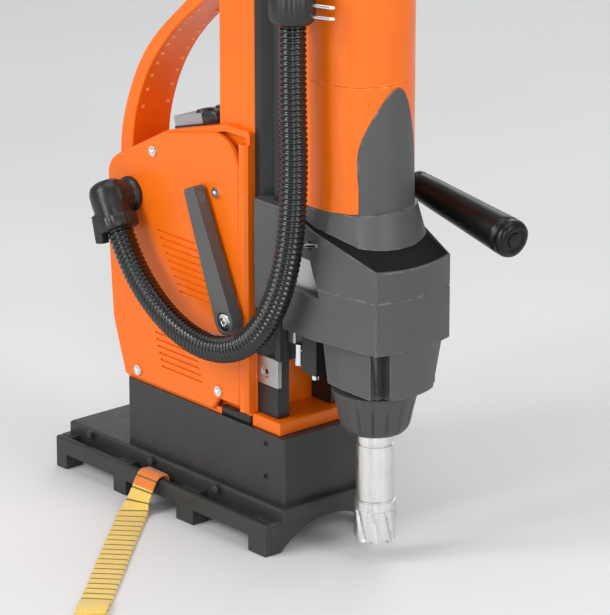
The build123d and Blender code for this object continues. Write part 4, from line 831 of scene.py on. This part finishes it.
# ---- hand feed ----------------------------------------------------------------------------------
def make_grips():
    """The three plastic grips, each with a collar at its foot and a groove near its end."""
    hub = Vector((0.0052, 0.062, 0.280))
    first_spoke, spokes = -9.9, 3
    for k in range(spokes):
        turn = math.radians(first_spoke + 360 / spokes * k)
        way = Vector((cos(turn), 0, sin(turn)))
        form = Form()
        form.lathe(hub, way, [
            (0.0062, 0.0772), (0.0088, 0.0772), (0.0098, 0.0784), (0.0102, 0.0810), (0.0094, 0.0824),
            (0.0096, 0.0838), (0.0104, 0.0860), (0.0112, 0.1030), (0.0122, 0.1290), (0.0132, 0.1530),
            (0.0140, 0.1710), (0.0142, 0.1750), (0.0136, 0.1760), (0.0136, 0.1772), (0.0142, 0.1782),
            (0.0141, 0.1810), (0.0130, 0.1838), (0.0108, 0.1850), (0.0086, 0.1848), (0.0080, 0.1838),
            (0.0060, 0.1836), (0.0054, 0.1846), (0.0020, 0.1848),
        ], 56)
        grip = form.piece(f"grip_{k + 1}", "grip_black", "feed", smooth=44.0)
        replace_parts(grip, "grips")


make_grips()


# ---- handle bumps -------------------------------------------------------------------------------
def make_handle_bumps():
    """Two rows of small grip bumps on the inside of the carrying handle, in a pale orange that paints their
    highlights.
    """
    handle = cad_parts["carry_handle"]
    tree = BVHTree.FromPolygons([v.co for v in handle.data.vertices],
                                [tuple(p.vertices) for p in handle.data.polygons])
    low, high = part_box("carry_handle")
    row_half = (high.y - low.y) / 2 - 0.0062
    bumps, first_angle, spacing = 11, 108, 8.6
    form = Form()
    for side in (-1, 1):
        for k in range(bumps):
            angle = math.radians(first_angle + spacing * k)
            start = Vector((-0.052, side * row_half, 0.312))
            place, normal = tree.ray_cast(start, Vector((cos(angle), 0, sin(angle))))[:2]
            if place and normal.length > 0.5:
                if normal.dot(start - place) < 0:
                    normal = -normal
                form.dome(place, normal, 0.0016, 0.0011)
    form.piece("handle_bumps", "painted_highlight_orange", "stand", smooth=60.0)


make_handle_bumps()


# ---- control panel ------------------------------------------------------------------------------
panel_slope = math.atan(19.0 / 67.0)        # the shell's top rises 19 mm over 67 mm under the panel
panel_normal = Vector((-sin(panel_slope), 0, cos(panel_slope)))
button_bodies = {"start_button": "start", "stop_button": "stop", "magnet_button": "magnet_switch"}


def make_panel_trim():
    """A dark gasket under the bright control panel and a dark switch hood over its front part."""
    low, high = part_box("control_panel")
    turn = Matrix.Rotation(-panel_slope, 4, "Y")
    along = Vector((cos(panel_slope), 0, sin(panel_slope)))
    middle = (low + high) / 2
    half = (high.y - low.y) / 2
    gasket = Form()
    gasket.block(middle - panel_normal * 0.0036, (0.0512, 2 * half + 0.0016, 0.0016), turn)
    gasket.piece("panel_gasket", "black_rubber", "stand", bevel=0.0004)
    hood = Form()
    hood.block(middle + along * 0.0172 + panel_normal * 0.0004, (0.0180, 2 * half + 0.0020, 0.0094), turn)
    hood.piece("switch_hood", "black_plastic", "stand", bevel=0.0014)


def make_button_caps():
    """The three push buttons' dished caps, a little smaller than the pockets that they sink into."""
    for node, body in button_bodies.items():
        low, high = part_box(node)
        cap = Form()
        cap.lathe((low + high) / 2 - panel_normal * 0.00275, panel_normal, [
            (0.0064, 0.0004), (0.0068, 0.0007), (0.0068, 0.0045), (0.0063, 0.0052), (0.0048, 0.0054),
            (0.0042, 0.0049), (0.0005, 0.0048),
        ], 40)
        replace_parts(cap.piece(node + "_cap", "black_plastic", body, smooth=50.0), node)


def make_foot_gap_shade_blocks():
    """Dark blocks set back in the two notches at the foot of the shell, as painted shade in the gaps."""
    gaps = Form()
    for side in (-1, 1):
        gaps.block((-0.0022, side * 0.0357, 0.0888), (0.0325, 0.0050, 0.0066))
    gaps.piece("foot_gap_shade_blocks", "black_rubber", "stand", bevel=0.0004)


make_panel_trim()
make_button_caps()
make_foot_gap_shade_blocks()


# ---- studio -------------------------------------------------------------------------------------
def area_light(name, place, towards, size, power):
    """A rectangular white light, turned towards a point."""
    data = bpy.data.lights.new(name, "AREA")
    data.shape = "RECTANGLE"
    data.size, data.size_y = size
    data.energy = power
    light = bpy.data.objects.new(name, data)
    bpy.context.scene.collection.objects.link(light)
    light.location = place
    light.rotation_mode = "QUATERNION"
    light.rotation_quaternion = (Vector(towards) - Vector(place)).to_track_quat("-Z", "Y")


def make_studio():
    """Soft area lights round the object, in pale surroundings."""
    middle = (0.0, 0.0, 0.22)
    area_light("key", (-0.9, -2.3, 1.9), middle, (0.7, 1.3), 30)
    area_light("side", (2.6, 0.3, 1.4), middle, (0.8, 2.0), 27)
    area_light("top", (0.2, 0.1, 2.6), middle, (2.0, 2.0), 20)
    area_light("rear", (-1.6, 2.2, 1.6), middle, (1.6, 1.6), 15)
    area_light("left_strip", (-0.1, -1.9, 0.9), middle, (0.26, 1.3), 12)
    area_light("right_strip", (1.7, -1.3, 0.9), middle, (0.26, 1.3), 12)
    world = bpy.data.worlds.new("studio")
    world.use_nodes = True
    world.node_tree.nodes["Background"].inputs["Color"].default_value = (0.80, 0.81, 0.82, 1.0)
    world.node_tree.nodes["Background"].inputs["Strength"].default_value = 0.50
    bpy.context.scene.world = world
    bpy.context.scene.view_settings.view_transform = "Standard"


def make_floor():
    """A plain pale floor that reaches past everything the camera sees."""
    mesh = bpy.data.meshes.new("floor")
    half = 20.0
    corners = [(-half, -half, 0), (half, -half, 0), (half, half, 0), (-half, half, 0)]
    mesh.from_pydata(corners, [], [(0, 1, 2, 3)])
    floor = bpy.data.objects.new("floor", mesh)
    bpy.context.scene.collection.objects.link(floor)
    nodes = Nodes("floor")
    tone = nodes.ranged(nodes.noise(0.4, 2.0), 0.0, 1.0)
    nodes.colour(nodes.mixed(tone, (0.66, 0.665, 0.67), (0.70, 0.705, 0.71)))
    nodes.shader.inputs["Roughness"].default_value = 0.6
    mesh.materials.append(nodes.material)


make_studio()
make_floor()
